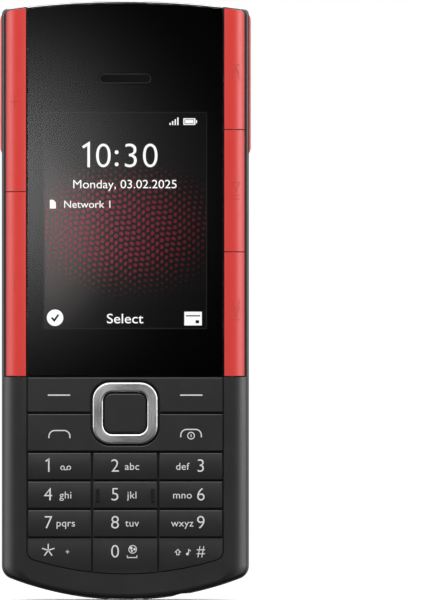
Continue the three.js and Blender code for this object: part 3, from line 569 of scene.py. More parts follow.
def ringMetal(tree):
    # Lines brushed along the band, three bright and three dark stretches round it that are a painted
    # reflection, and polished bevels.
    # The band's own distance from the middle is the fourth root of the sum of the fourth powers.
    x, y, z = apart(moved(objectPlace(tree), location=(0, 0, -navZ * mm)))
    powers = [maths("POWER", maths("ABSOLUTE", part / mm), 4.0) for part in (x, z)]
    reach = maths("POWER", powers[0] + powers[1], 0.25)
    turn = maths("ARCTAN2", z, x)
    across, around = ringForm["lines"]
    place = wired(tree, "CombineXYZ", {0: reach * across, 1: maths("COSINE", turn) * around,
                                       2: maths("SINE", turn) * around})
    lines = noiseOver(place, 1.0, 4.0, 0.7)
    # Painted reflection: the colour grows lighter and darker with the angle round the ring, three times over.
    paintedSheen = maths("COSINE", (turn - maths("SINE", turn) * ringForm["turn"]) * ringForm["stretches"])
    share = paintedSheen * ringForm["shade"] + (lines - 0.5) * ringForm["lineShare"]
    brushedAndSheen = blended(spread(share, -1.0, 1.0), ringForm["dark"], ringForm["bright"])
    ends = [(ringForm["bevelY"] + edge) * mm for edge in (-ringForm["bevelEdge"], ringForm["bevelEdge"])]
    bevel = spread(y, *ends)
    return {"Base Color": blended(bevel, brushedAndSheen, ringForm["bevel"]), "Normal": bumped(lines, 0.004),
            "Roughness": spread(lines, 0.3, 0.7, 0.3, 0.38) - bevel * ringForm["polish"], "Metallic": 1.0}


def pierced(tree):
    # Pressed steel with rows of round holes: the distance to the nearest point of an even lattice. The holes
    # are painted darker than the steel, painted shade inside them.
    place = moved(objectPlace(tree), rotation=(0, math.radians(45), 0), scale=(1 / (0.42 * mm),) * 3)
    x, _, z = apart(place)
    steel = spread(lengthOf(maths("FRACT", x) - 0.5, maths("FRACT", z) - 0.5), 0.24, 0.34, smooth=True)
    return {"Base Color": blended(steel, (0.0005, 0.0005, 0.0005), (0.003, 0.003, 0.0031)),
            "Normal": bumped(steel, 0.08), "Roughness": 0.6, "Specular IOR Level": 0.07}


finishes = {
    "red_plastic": plastic("redPlastic", (0.555, 0.029, 0.022), 0.36, depth=0.004, drift=0.04),
    "black_plastic": plastic("blackPlastic", (0.0128, 0.0119, 0.0123), 0.36),
    "cover_plastic": plastic("coverPlastic", (0.0165, 0.015, 0.0155), 0.5, grain=2600.0, depth=0.01,
                             specular=0.4),
    "key_plastic": plastic("keyPlastic", (0.0150, 0.0141, 0.0145), 0.38, depth=0.004, specular=0.4),
    "black_glass": plastic("blackGloss", (0.003, 0.003, 0.0035), 0.05, grain=900.0, depth=0.0005,
                           handling=0.03),
    "brushed_ring": makeMaterial("ringMetal", ringMetal),
    "dark_metal": metal("darkMetal", (0.20, 0.20, 0.21), 0.38),
    "bright_metal": metal("brightMetal", (0.4, 0.4, 0.405), 0.34),
    "circuit_board": makeMaterial("circuitBoard", circuitBoard),
    "dark_rubber": plastic("darkRubber", (0.022, 0.022, 0.023), 0.75, grain=1800.0, depth=0.012,
                           specular=0.35),
    "battery_wrap": makeMaterial("batteryWrap", batteryWrap),
    "earbud_plastic": plastic("earbudPlastic", (0.012, 0.012, 0.013), 0.18, depth=0.001, coat=0.4),
    "display": makeMaterial("litScreen", litScreen),
    "flash_glass": makeMaterial("flashLens", flashLens),
}
legendPaint = paint("legendPaint", (0.6, 0.6, 0.6))
maskPaint = paint("maskPaint", (0.0012, 0.0012, 0.0014), 0.6, 0.0)
# The side buttons' marks are a darker red than the buttons: painted shade of the engraving.
engravingShadeRed = paint("engravingShadeRed", (0.46, 0.028, 0.021), 0.6)

slotOf = {row["node"]: row["material_slot"] for row in frame["record"]["subparts"]}
for name, node in nodes.items():
    for socket in node.material_slots:
        socket.material = finishes[slotOf[name]]
print("finishes made")


# Front housing: a flat face between sides that turn back on a quarter ellipse

# Cutters start before the face and end past the top.
beforeFace = -9.0
pastTop = 136.0
front = {
    "faceY": -7.15, "backY": -2.9, "faceHalf": 22.1, "sideSpan": 4.65, "sideDepth": 4.25, "ownSpan": 5.25,
    "low": 0.75, "endRound": 0.75, "high": 134.25, "topRound": 0.3, "lowRadius": 70.2, "highRadius": 184.6,
    "lowCorner": 2.5, "highCorner": 1.0, "steps": 28, "soften": 0.18, "speaker": (13.0, 6.0, 0.3),
    "through": (-6.6, -3.8),
}
# The front's openings for glass, pad, boards and panel: an outline as slab takes it, and two depths.
openings = (
    ({"half": 22.09, "low": 50.06, "high": 133.97, "highRadius": 184.4, "lowCorner": 0.6, "highCorner": 0.6},
     beforeFace, -6.05),
    ({"half": 22.09, "low": 5.9, "high": 50.4, "lowRadius": 68.6, "lowCorner": 2.2}, beforeFace, -5.6),
    ({"half": 21.3, "low": 7.4, "high": 50.3, "lowCorner": 8.0, "highCorner": 1.4}, -4.8, -1.0),
    ({"half": 21.3, "low": 52.1, "high": 131.4}, -5.25, -1.0),
    ({"half": 19.9, "low": 56.54, "high": 113.06}, -7.0, -3.0),
)
keyPad = {
    "half": 21.85, "low": 6.1, "high": 50.06, "lowRadius": 68.4, "corner": 2.0, "back": -6.1, "stem": 1.3,
    "stemEnds": (-6.4, -5.1), "stemGap": 0.35, "stemX": 14.65, "stemLow": 10.1, "crown": 0.2, "rim": 0.45,
    "split": 0.01, "reach": 30.0, "upper": (30.0, 55.0), "cutBack": -5.0, "formBack": -5.9,
    "inset": (0.09, 0.05), "soften": 0.26, "barHalf": (0.42, 1.55), "barX": 6.15, "barZ": 23.6, "barY": -7.34,
}
buttons = {
    "inner": 22.2, "thickness": 1.3, "back": -3.1, "wellInner": 21.95, "wellDepth": 2.4, "wellOuter": 29.0,
    "wellFront": -8.2, "wellBack": -1.9, "wellLow": 50.06, "soften": 0.26, "topCorner": 1.1, "near": 0.05,
}


def sideCurve(depth, steps=24):
    # A quarter ellipse from the face to the side, drawn in by a depth.
    turn = np.linspace(0, quarterTurn, steps + 1)
    return np.column_stack((front["faceHalf"] + (front["sideSpan"] - depth) * np.sin(turn),
                            front["backY"] - (front["sideDepth"] - depth) * np.cos(turn)))


def frontForm():
    # Outlines that widen with the sine of the turn while the depth follows its cosine.
    turn = np.linspace(0, quarterTurn, front["steps"] + 1)
    rings = [slab(front["faceHalf"] + front["ownSpan"] * fall, front["low"] + front["endRound"] * (1 - fall),
                  front["high"] - front["topRound"] * (1 - fall), front["lowRadius"], front["highRadius"],
                  front["lowCorner"], front["highCorner"], arcSteps=64) for fall in np.sin(turn)]
    return layered(rings, front["backY"] - front["sideDepth"] * np.cos(turn))


def navOuter(grow):
    return rounded(7.3 + grow, 6.9 + grow, 3.9 + grow, 0, navZ, 14)


def windowOutline(inset):
    corner = window["corner"]
    return slab(window["half"] - inset, window["low"] + inset, window["high"] - inset,
                highRadius=window["highRadius"] - inset, lowCorner=corner, highCorner=corner)


def padOutline(inset):
    return slab(keyPad["half"] - inset, keyPad["low"] + inset, keyPad["high"], keyPad["lowRadius"] - inset,
                lowCorner=keyPad["corner"] - inset * 0.5, highCorner=0.3)


def buttonWell(side):
    # A section outside the drawn-in side curve, drawn up past the top.
    curve = sideCurve(buttons["wellDepth"])
    inner, outer, near, far = (buttons["well" + end] for end in ("Inner", "Outer", "Front", "Back"))
    section = np.vstack(([inner, curve[0, 1]], curve, [outer, far], [outer, near], [inner, near]))
    return drawnUp(section * (side, 1), buttons["wellLow"], pastTop)


keyNames = ["key_" + word for word in "1 2 3 4 5 6 7 8 9 star 0 hash".split()]
functionNames = ["soft_key_left", "soft_key_right", "call_key", "end_key"]
lastRow = keyNames[9:]


def stemPlace(name):
    low, high = cadBox(name)
    middle = (low + high) / 2
    x = middle[0] if name in keyNames else math.copysign(keyPad["stemX"], middle[0])
    return x, max(middle[2], keyPad["stemLow"])


def stemPin(x, z, grow=0.0, ends=keyPad["stemEnds"]):
    radius = keyPad["stem"] + grow
    return turnedAbout([(radius, end) for end in ends], (x, 0, z), 28)


shell = makePiece("front_shell", frontForm())
stemHoles = [stemPin(*stemPlace(name), keyPad["stemGap"], front["through"])
             for name in keyNames + functionNames]
carve(shell, *[plate(slab(**outline), near, far) for outline, near, far in openings],
      plate(pill(*front["speaker"], 0, window["earpieceZ"]), -7.0, -3.0),
      plate(navOuter(0), *front["through"]), together(*stemHoles), buttonWell(-1), buttonWell(1))
finishPiece(shell, "phone", "black_plastic", "front_housing", soften=front["soften"], angle=50)
print("front housing made")


# Keys: one cell each, its edges rounded, with a stem that reaches the dome under it

def keyCell(name):
    # The last row runs past the pad's low end, and a function key past the middle, where they are cut.
    low, high = cadBox(name)
    acrossInset, upInset = keyPad["inset"]
    low, high = low + (acrossInset, 0, upInset), high - (acrossInset, 0, upInset)
    if name in lastRow:
        low[2] = keyPad["low"] - 1
    if name in functionNames:
        low[0], high[0] = -keyPad["half"], keyPad["half"]
    return block(low[0], high[0], front["faceY"], keyPad["back"], low[2], high[2])


def ownHalf(name):
    side = 1 if cadBox(name)[0][0] > 0 else -1
    near, far = sorted((side * keyPad["split"], side * keyPad["reach"]))
    return block(near, far, beforeFace, keyPad["cutBack"], *keyPad["upper"])


def crownForm(name):
    # A bar across the key whose face falls away from its middle by the crown times the square of the way out,
    # with one flat strip along each rim.
    low, high = cadBox(name)
    middle, half = (low[2] + high[2]) / 2, (high[2] - low[2]) / 2
    past = half * 1.3
    lean = np.r_[-past, np.linspace(keyPad["rim"] - half, half - keyPad["rim"], 17), past]
    depth = front["faceY"] + keyPad["crown"] * (np.clip(lean, -half, half) / half) ** 2
    back = keyPad["formBack"]
    section = np.vstack((np.column_stack((lean, depth)), [past, back], [-past, back]))
    points, faces = drawnUp(section, low[0] - 1, high[0] + 1)
    return points[:, [2, 1, 0]] + (0, 0, middle), faces


padBody = stacked(padOutline, [(0, front["faceY"] - 1), (0, keyPad["back"] + 1)])
navWell = plate(navOuter(0.4), beforeFace, keyPad["cutBack"])
for name in keyNames + functionNames:
    piece = makePiece(name + "_cap", keyCell(name))
    if name in lastRow:
        carve(piece, padBody, how="INTERSECT")
    if name in keyNames:
        carve(piece, crownForm(name), how="INTERSECT")
    else:
        carve(piece, navWell)
    rounding(piece, keyPad["soften"], 30, 4)
    if name in functionNames:
        carve(piece, ownHalf(name), how="INTERSECT")
    carve(piece, stemPin(*stemPlace(name)), how="UNION")
    finishPiece(piece, name, "key_plastic", name)


def keyBar(x):
    # A rectangle with round corners, its front edge rounded.
    wide, tall = keyPad["barHalf"]
    return stacked(lambda inset: rounded(wide - inset, tall - inset, 0.25 - inset * 0.7, x, keyPad["barZ"]),
                   edged(keyPad["barY"], -6.9, 0.16))


# The raised bars on key 5 get a near-black plastic, darker than the keys: painted shade.
addPiece("key_5_bars", together(keyBar(-keyPad["barX"]), keyBar(keyPad["barX"])), "key_5", "key_plastic",
         material=plastic("barPaintedShade", (0.003, 0.0028, 0.0029), 0.5, specular=0.25))
print("keys made")


# Navigation ring, select key and window

def betweenNav(share):
    # An outline part of the way from the ring's hole to its rim.
    return (rounded(*ringForm["hole"], 0, navZ, 14) * (1 - share)
            + rounded(*ringForm["rim"], 0, navZ, 14) * share)


addPiece("ring_band", stacked(betweenNav, ringForm["profile"], looped=True), "nav_ring", "brushed_ring",
         "nav_ring", angle=40)

select = makePiece("select_cap", stacked(
    lambda inset: rounded(4.7 - inset, 4.42 - inset, 1.75 - inset * 0.7, 0, navZ, 12),
    edged(front["faceY"], keyPad["back"], 0.35)))
carve(select, stemPin(0, navZ), how="UNION")
finishPiece(select, "select_key", "key_plastic", "select_key")


def earOutline(inset, shorter=0.0):
    # The ear slot's outline, made shorter and drawn in.
    return pill(window["earpieceLength"] - shorter, window["earpieceHeight"] - shorter, -inset, 0,
                window["earpieceZ"])


def litOutline(inset):
    left, right, low, high = (window["lit" + end] for end in ("Left", "Right", "Low", "High"))
    return rounded((right - left) / 2 - inset, (high - low) / 2 - inset, 0.05, (left + right) / 2,
                   (low + high) / 2)


paneProfile = edged(front["faceY"], window["back"], window["edge"], 0.05)
pane = makePiece("window_pane", stacked(windowOutline, paneProfile))
carve(pane, stacked(earOutline, [(-0.5, -8.0), (-0.14, -7.15), (-0.04, -7.05), (0, -6.9), (0, -5.0)]))
finishPiece(pane, "phone", "black_glass", "display_window", material=makeMaterial("paneGlass", clearGlass))

# The print and the lit layer are bonded into the pane, so nothing is reflected between them and the glass.
maskInset, maskFront, maskBack = window["mask"]
mask = makePiece("window_mask", plate(windowOutline(maskInset), maskFront, maskBack))
carve(mask, plate(litOutline(0), -7.0, -5.0), plate(earOutline(-0.05), -7.0, -5.0))
finishPiece(mask, "phone", "black_glass", material=maskPaint)
nearSide, farSide, collarFront, collarBack = window["collar"]
collar = [(nearSide, collarFront), (nearSide, collarBack), (farSide, collarBack), (farSide, collarFront)]
addPiece("window_collar", stacked(windowOutline, collar, looped=True), "phone", "black_glass",
         material=maskPaint)
addPiece("lit_layer", plate(litOutline(-0.2), -6.58, -6.46), "phone", "display")
litEdge = [(0.02, -6.64), (0.02, -6.56), (0.3, -6.56), (0.3, -6.64)]
addPiece("lit_edge", stacked(litOutline, litEdge, looped=True), "phone", "display",
         material=paint("litEdge", (0.02, 0.02, 0.0205), 0.6, 0.0))
sleeve = [(0.03, -7.05), (-0.3, -7.05), (-0.3, -6.44), (0.03, -6.44)]
addPiece("earpiece_sleeve", stacked(earOutline, sleeve, looped=True), "phone", "black_glass",
         material=maskPaint)
addPiece("earpiece_mesh", stacked(lambda inset: earOutline(inset, 0.5), edged(-6.9, -6.2, 0.12)), "phone",
         "dark_metal", "earpiece_grille", material=makeMaterial("piercedSteel", pierced))
print("ring and window made")


# Side buttons: bands of the front's own curve

def buttonBar(name):
    # The side curve out and, drawn in by the thickness, back again.
    low, high = cadBox(name)
    side = 1 if low[0] > 0 else -1
    outer, inner = [curve[(curve[:, 1] < buttons["back"]) & (curve[:, 0] > buttons["inner"])]
                    for curve in (sideCurve(0), sideCurve(buttons["thickness"]))]
    start = front["faceY"]
    section = np.vstack(([buttons["inner"], start], outer, [outer[-1, 0] + 0.02, buttons["back"]],
                         [inner[-1, 0] + 0.02, buttons["back"]], inner[::-1],
                         [buttons["inner"], start + buttons["thickness"]]))
    top = pastTop if high[2] > 130 else high[2] + buttons["near"]
    return drawnUp(section * (side, 1), low[2] - buttons["near"], top)


buttonNames = ["volume_up_button", "volume_down_button", "previous_button", "play_button", "next_button"]
topForm = plate(slab(front["faceHalf"] + front["sideSpan"], 40.0, 133.95, highRadius=184.3,
                     highCorner=buttons["topCorner"]), -8.0, -1.0)
for name in buttonNames:
    piece = makePiece(name + "_cap", buttonBar(name))
    if cadBox(name)[1][2] > 130:
        carve(piece, topForm, how="INTERSECT")
    finishPiece(piece, name, "red_plastic", name, soften=buttons["soften"], angle=40)
print("buttons made")


# Rear housing: a rounded flank, a shoulder, and the chassis that the rail frame sits on

soundZ = (95.0, 13.6)
rear = {
    "half": 27.7, "length": 134.6, "lowRadius": 71.0, "highRadius": 185.0, "lowCorner": 3.0,
    "highCorner": 1.4, "frontY": -2.85, "shoulderY": 1.2, "lift": 0.03, "flankStep": 0.95,
    "bulge": (2.6, 2.2), "chassisHalf": 25.0, "chassisFront": -2.3, "step": 1.1, "deckY": 3.92, "wall": 1.4,
    "hollow": (-3.6, 2.92), "screw": (19.0, 7.9), "post": [(2.6, -4.0), (2.6, 4.5)],
    "screwHole": [(1.1, -4.0), (1.1, 2.9), (2.0, 2.9), (2.0, 5.0)],
    # sound: length, height, two depths. usb: length, height, gap, two levels. jack: gap, two levels
    "sound": (12.0, 1.0, 1.9, 4.9), "usb": (8.94, 3.2, 0.3, -1.0, 7.4), "jack": (0.3, -1.0, 7.0),
}
# Boxes by their ends across, in depth and up: two that stay solid, then four that are cut.
solidBoxes = ((-18.7, 18.7, -1.3, 4.5, 19.8, 78.6), (-25.5, 25.5, -4.0, 4.5, 98.7, pastTop))
cutBoxes = {
    "battery": (-17.8, 17.8, -0.7, 5.0, 20.7, 77.7), "bay": (-21.57, 21.57, -4.0, 5.0, 100.5, 131.4),
    "contacts": (-4.3, 4.3, -2.3, 0.3, 75.9, 77.7), "camera": (-4.4, 4.4, 1.9, 5.0, 82.1, 90.9),
}


def silhouette(inset):
    return slab(rear["half"] - inset, rear["lift"] + inset, rear["length"] - inset, rear["lowRadius"] - inset,
                rear["highRadius"] - inset, rear["lowCorner"] - inset, rear["highCorner"] - inset / 2,
                arcSteps=64)


def chassisOutline(inset):
    step = rear["step"] + inset
    return slab(rear["chassisHalf"] - inset, step, rear["length"] - step, rear["lowRadius"] - step,
                rear["highRadius"] - step, max(rear["lowCorner"] - step, 0.3),
                max(rear["highCorner"] - inset, 0.3))


def flankProfile():
    # The flank bulges: its inset goes to nothing in the middle along a superellipse.
    turn = np.linspace(-1, 1, 25)
    power, root = rear["bulge"]
    inset = rear["flankStep"] * (1 - (1 - np.abs(turn) ** power) ** (1 / root))
    return np.column_stack((inset, rear["frontY"] + (rear["shoulderY"] - rear["frontY"]) * (turn + 1) / 2))


def atScrews(profile):
    # A profile turned about each screw's axis.
    x, z = rear["screw"]
    return together(*[turnedAbout(profile, (side * x, 0, z), 40) for side in (-1, 1)])


casing = makePiece("rear_shell", stacked(silhouette, flankProfile()))
carve(casing, plate(chassisOutline(0), rear["chassisFront"], rear["deckY"]), how="UNION")
hollow = makePiece("hollow", plate(chassisOutline(rear["wall"]), *rear["hollow"]))
carve(hollow, *[block(*ends) for ends in solidBoxes], atScrews(rear["post"]))
soundLength, soundHeight, soundFront, soundBack = rear["sound"]
soundHoles = [plate(pill(soundLength, soundHeight, 0, 0, z), soundFront, soundBack) for z in soundZ]
usbLength, usbHeight, usbGap, usbStart, usbEnd = rear["usb"]
usbLow, usbHigh = cadBox("usb_socket")
usbPill = pill(usbLength, usbHeight, usbGap, 0, (usbLow[1] + usbHigh[1]) / 2)
jackGap, jackStart, jackEnd = rear["jack"]
jackLow, jackHigh = cadBox("headphone_jack")
jackMiddle = (jackLow + jackHigh) / 2
jackCircle = circle(*jackMiddle[:2], (jackHigh[0] - jackLow[0]) / 2 + jackGap, 48)
batteryCut, bayCut, contactCut, cameraCut = (block(*ends) for ends in cutBoxes.values())
carve(casing, hollow, batteryCut, bayCut, contactCut, together(*soundHoles),
      drawnUp(usbPill, usbStart, usbEnd), drawnUp(jackCircle, jackStart, jackEnd), cameraCut,
      atScrews(rear["screwHole"]))
finishPiece(casing, "phone", "black_plastic", "rear_housing", angle=30)
print("rear housing made")


# Rail frame: a ridge round the back, with an overhang that the sliding cover hooks under

rail = {
    # half width, step in from the low end and from the high end, low corner, high corner, depth
    "rings": [(25.9, 1.1, 1.1, 1.9, 1.4, 4.22), (25.9, 1.1, 1.1, 1.9, 1.4, 4.92),
              (23.65, 2.05, 2.05, 0.95, 0.7, 6.02), (21.85, 3.04, 3.2, 0.3, 0.3, 5.42),
              (21.85, 3.04, 3.2, 0.3, 0.3, 4.22)],
    "notch": (-6.3, 6.3, 3.2, 7.0, 0.0, 1.6), "soften": 0.16,
}
railRings = [slab(half, low, rear["length"] - high, rear["lowRadius"] - low, rear["highRadius"] - high,
                  lowCorner, highCorner, arcSteps=64)
             for half, low, high, lowCorner, highCorner, _ in rail["rings"]]
railFrame = makePiece("rail_ridge", layered(railRings, [row[5] for row in rail["rings"]], looped=True))
carve(railFrame, block(*rail["notch"]))
finishPiece(railFrame, "phone", "red_plastic", "rail_frame", soften=rail["soften"], angle=20, segments=4)
print("rail frame made")


# Battery cover with its openings, the inserts, the camera and the flash

cover = {
    "half": 21.57, "low": 3.32, "high": 99.6, "lowRadius": 67.68, "frontY": 4.22, "backY": 5.42, "edge": 0.28,
    "slot": (15.6, 2.0), "insertGap": 0.34, "insertBack": 5.3, "flashRadius": 2.05, "gap": 0.28,
}


def coverOutline(inset):
    return slab(cover["half"] - inset, cover["low"] + inset, cover["high"] - inset,
                cover["lowRadius"] - inset, arcSteps=64)


def cameraOutline(grow):
    return rounded(5.2 + grow, 5.2 + grow, 3.0 + grow, *cameraPlace, 16)


def flared(outlineOf):
    # A cutter whose mouth opens out at the cover's back face, so that the rim it leaves is rounded.
    back = cover["backY"]
    return stacked(outlineOf, [(0, 2.0), (0, back - 0.12), (-0.03, back - 0.04), (-0.12, back),
                               (-0.6, back + 1.0)])


lid = makePiece("back_cover", stacked(coverOutline, edged(cover["frontY"], cover["backY"], 0, cover["edge"])))
carve(lid, *[flared(lambda inset, z=z: pill(*cover["slot"], -inset, 0, z)) for z in soundZ],
      flared(lambda inset: cameraOutline(0.02 - inset)),
      flared(lambda inset: circle(*flashPlace, cover["flashRadius"] + cover["gap"] - inset, 48)))
finishPiece(lid, "phone", "cover_plastic", "battery_cover")
for name, z in zip(("speaker_grille_upper", "speaker_grille_lower"), soundZ):
    insert = stacked(lambda inset, z=z: pill(*cover["slot"], -cover["insertGap"] - inset, 0, z),
                     edged(cover["frontY"], cover["insertBack"], 0, 0.14))
    addPiece(name + "_insert", insert, "phone", "cover_plastic", name)

camera = {
    "ringOut": -0.33, "ringIn": -0.83, "ringBack": 5.87, "glass": (4.97, 5.62),
    "hole": [(2.42, 3.0), (2.42, 5.5), (2.5, 5.58), (2.7, 6.5)],
    "barrel": [(2.4, 4.7), (2.4, 5.5), (2.3, 5.54), (2.05, 5.5), (1.95, 5.3), (1.6, 5.24), (1.5, 5.0),
               (1.25, 4.95), (1.2, 4.7), (0, 4.7)],
    "domeRadius": 1.2, "domeFront": 4.72, "domeRise": 0.45,
}
cameraMiddle = (cameraPlace[0], 0, cameraPlace[1])
ringOut, ringIn, ringBack = camera["ringOut"], camera["ringIn"], camera["ringBack"]
bezel = [(ringOut, 4.22), (ringOut, 5.7), (ringOut - 0.05, 5.82), (ringOut - 0.14, ringBack),
         (ringIn + 0.12, ringBack), (ringIn + 0.03, 5.82), (ringIn, 5.7), (ringIn, 4.22)]
addPiece("camera_bezel", stacked(cameraOutline, bezel, looped=True), "phone", "dark_metal", "camera_ring",
         material=metal("bezelMetal", (0.2, 0.2, 0.205), 0.36, contrast=0.12))
cameraPane = makePiece("camera_pane", stacked(lambda inset: cameraOutline(ringIn - 0.03 - inset),
                                              edged(*camera["glass"], 0, 0.06)))
carve(cameraPane, turnedAbout(camera["hole"], cameraMiddle, 96))
finishPiece(cameraPane, "phone", "black_glass", "camera_window")
addPiece("lens_barrel", turnedAbout(camera["barrel"], cameraMiddle, 96), "phone", "dark_metal",
         material=metal("barrelMetal", (0.035, 0.035, 0.038), 0.35, contrast=0.1))


def bulging(radius, start, grow, rise):
    # From the rim inward, the radius grows by a cosine while the depth rises by a sine.
    turn = np.linspace(0, quarterTurn, 9)
    return np.column_stack((radius + grow * np.cos(turn), start + rise * np.sin(turn)))


dome = bulging(0, camera["domeFront"], camera["domeRadius"], camera["domeRise"])
addPiece("lens_dome", turnedAbout(dome, cameraMiddle, 64), "phone", "black_glass",
         material=makeMaterial("lensCoating", lensCoating))
flashProfile = np.vstack(([0, cover["frontY"]], [cover["flashRadius"], cover["frontY"]],
                          bulging(1.7, cover["backY"], 0.35, 0.16), [0, 5.6]))
addPiece("flash_diffuser", turnedAbout(flashProfile, (flashPlace[0], 0, flashPlace[1]), 64), "phone",
         "flash_glass", "flash_lens")
print("back made")


# Sliding cover: a channel with hooked lips, cut to its plan and engraved with two chevrons

cap = {
    "half": 28.15, "low": 97.6, "high": 134.2, "highRadius": 184.6, "sag": 2.0, "corner": 2.4, "back": 7.45,
    "round": 3.0, "wall": 1.15, "innerRound": 1.1, "lipFront": 1.48, "lipBack": 3.94, "lipHalf": 25.28,
    "lipEdge": 0.3, "innerHalf": 26.18, "edge": 0.45, "chevronHalf": 4.2, "chevronDrop": 2.25,
    "chevronStroke": 0.95, "chevronZ": 108.75, "chevronPitch": 3.85, "chevronDepth": 0.22, "soften": 0.08,
}


def capSection():
    # Half of the channel from the lip's edge round the back, and its mirror image.
    outerMiddle = (cap["half"] - cap["round"], cap["back"] - cap["round"])
    innerMiddle = (cap["innerHalf"] - cap["innerRound"], cap["back"] - cap["wall"] - cap["innerRound"])
    outer = np.vstack(([cap["lipHalf"], cap["lipFront"]], [cap["half"] - cap["lipEdge"], cap["lipFront"]],
                       [cap["half"], cap["lipFront"] + cap["lipEdge"]],
                       arcPoints(outerMiddle, cap["round"], 0, quarterTurn, 24)))
    inner = np.vstack(([cap["lipHalf"], cap["lipBack"]], [cap["innerHalf"], cap["lipBack"]],
                       arcPoints(innerMiddle, cap["innerRound"], 0, quarterTurn, 8)))
    mirror = (-1, 1)
    return np.vstack((outer, outer[::-1] * mirror, inner * mirror, inner[::-1]))


def capPlan(inset):
    # The low end sags: its radius is the half width squared plus the sag squared, over twice the sag.
    sagRadius = (cap["half"] ** 2 + cap["sag"] ** 2) / (2 * cap["sag"])
    corner = cap["corner"] - inset * 0.5
    return -slab(cap["half"] + 0.01 - inset, -cap["high"] + inset, -cap["low"] - inset,
                 cap["highRadius"] - inset, sagRadius - inset, corner, corner, arcSteps=64, cornerSteps=12)


def chevron(top):
    # A trapezium carried down to the middle and up again.
    half, wide = cap["chevronHalf"], cap["chevronStroke"] / 2
    bottom, above = cap["back"] - cap["chevronDepth"], 8.1
    return carriedAlong([(-half, top), (0, top - cap["chevronDrop"]), (half, top)],
                        [(-wide - 0.6, above), (-wide, bottom), (wide, bottom), (wide + 0.6, above)])


slider = makePiece("sliding_cover", drawnUp(capSection(), 95.0, pastTop))
carve(slider, stacked(capPlan, edged(0.4, cap["back"] + 0.01, 0, cap["edge"], 6)), how="INTERSECT")
carve(slider, chevron(cap["chevronZ"]), chevron(cap["chevronZ"] - cap["chevronPitch"]))
finishPiece(slider, "slider_cover", "red_plastic", "slider_cover", soften=cap["soften"], angle=30)
print("sliding cover made")


# Earbuds, tips and tray

buds = {
    "x": 14.02, "y": 2.02, "z": 115.95, "radius": 7.0, "front": -1.68, "back": 5.72, "wallShare": 0.32,
    "nozzle": 1.9, "nozzleEnds": (3.96, 12.0), "tipMiddle": 1.2, "tipEnd": 6.72, "tipRound": 2.3,
    "groove": [(3.3, 7.0), (3.3, 5.42), (3.05, 5.42), (3.05, 7.0)],
}
budTray = {
    "half": 21.29, "frontY": -2.6, "backY": 3.32, "low": 100.78, "high": 131.12, "channel": 4.2, "start": 0.9,
    "well": [(0, -1.98), (6.9, -1.98), (7.3, -1.6), (7.3, 3.1), (7.5, 3.4), (8.4, 5.0)], "soften": 0.18,
    "pin": [(0, -2.2), (0.45, -2.2), (0.45, -1.78), (0.3, -1.7), (0, -1.69)], "pinDrop": 4.6,
    "pinSteps": (-1.6, 0, 1.6),
}


def budProfile(steps=18):
    # A superellipse from the flat front's middle to the dome's: the root of the cosine, and the sine.
    middle = buds["front"] + (buds["back"] - buds["front"]) * buds["wallShare"]
    low = np.linspace(-quarterTurn, 0, steps // 2 + 1)
    high = np.linspace(0, quarterTurn, steps + 1)[1:]
    halves = ((low, middle - buds["front"]), (high, buds["back"] - middle))
    radius = buds["radius"]
    under, over = [np.column_stack((radius * np.sqrt(np.abs(np.cos(turn))), middle + span * np.sin(turn)))
                   for turn, span in halves]
    under[0, 0] = 0
    over[-1, 0] = 0
    return np.vstack((under, over))


def tipProfile():
    # Out over a quarter circle, down the skirt, and back up inside it to the bore.
    start, end = buds["tipMiddle"], buds["tipEnd"]
    middle = (start + end) / 2
    crown = arcPoints((1.6, start + buds["tipRound"]), buds["tipRound"], -quarterTurn, 0, 10)
    return np.vstack(([0.9, start + 1.4], [0.95, start + 0.15], crown, [3.85, middle + 1.6], [3.6, end],
                      [3.3, end], [3.3, middle + 0.8], [2.25, middle], [2.25, end - 0.3], [0.9, end - 0.3]))


for side, word in ((-1, "left"), (1, "right")):
    centre, axis = (side * buds["x"], 0, buds["z"]), (0, buds["y"], buds["z"])
    bud = makePiece("earbud_shell_" + word, turnedAbout(budProfile(), centre, 96))
    neck = [(buds["nozzle"], side * end) for end in buds["nozzleEnds"]]
    carve(bud, turnedAbout(neck, axis, 40, alongX=True), how="UNION")
    carve(bud, turnedAbout(buds["groove"], centre, 72, looped=True))
    finishPiece(bud, "phone", "earbud_plastic", "earbud_" + word, angle=40)
    tip = turnedAbout(tipProfile() * (1, side), axis, 64, alongX=True, looped=True)
    addPiece("soft_tip_" + word, tip, "phone", "dark_rubber", "ear_tip_" + word, angle=50)

tray = makePiece("bud_tray", block(-budTray["half"], budTray["half"], budTray["frontY"], budTray["backY"],
                                   budTray["low"], budTray["high"]))
for side in (-1, 1):
    x, start, wide = side * buds["x"], side * budTray["start"], budTray["channel"]
    channel = turnedAbout([(wide, start), (wide, x)], (0, buds["y"], buds["z"]), 64, alongX=True)
    mouth = block(min(start, x), max(start, x), buds["y"], 5.0, buds["z"] - wide, buds["z"] + wide)
    carve(tray, turnedAbout(budTray["well"], (x, 0, buds["z"]), 96), channel, mouth)
finishPiece(tray, "phone", "black_plastic", "bay_tray", soften=budTray["soften"], angle=40)
pins = [turnedAbout(budTray["pin"], (side * (buds["x"] + step), 0, buds["z"] - budTray["pinDrop"]), 24)
        for side in (-1, 1) for step in budTray["pinSteps"]]
addPiece("charge_pins", together(*pins), "phone", "bright_metal",
         material=metal("goldPlate", (0.72, 0.50, 0.18), 0.28, contrast=0.1))
print("earbuds and tray made")


# Marks on the keys and buttons, and the symbols on the lit screen

def onSide(x):
    # The depth of the front's quarter ellipse at a distance from the middle.
    along = np.clip((np.abs(x) - front["faceHalf"]) / front["sideSpan"], 0, 0.999)
    return front["backY"] - front["sideDepth"] * np.sqrt(1 - along ** 2)


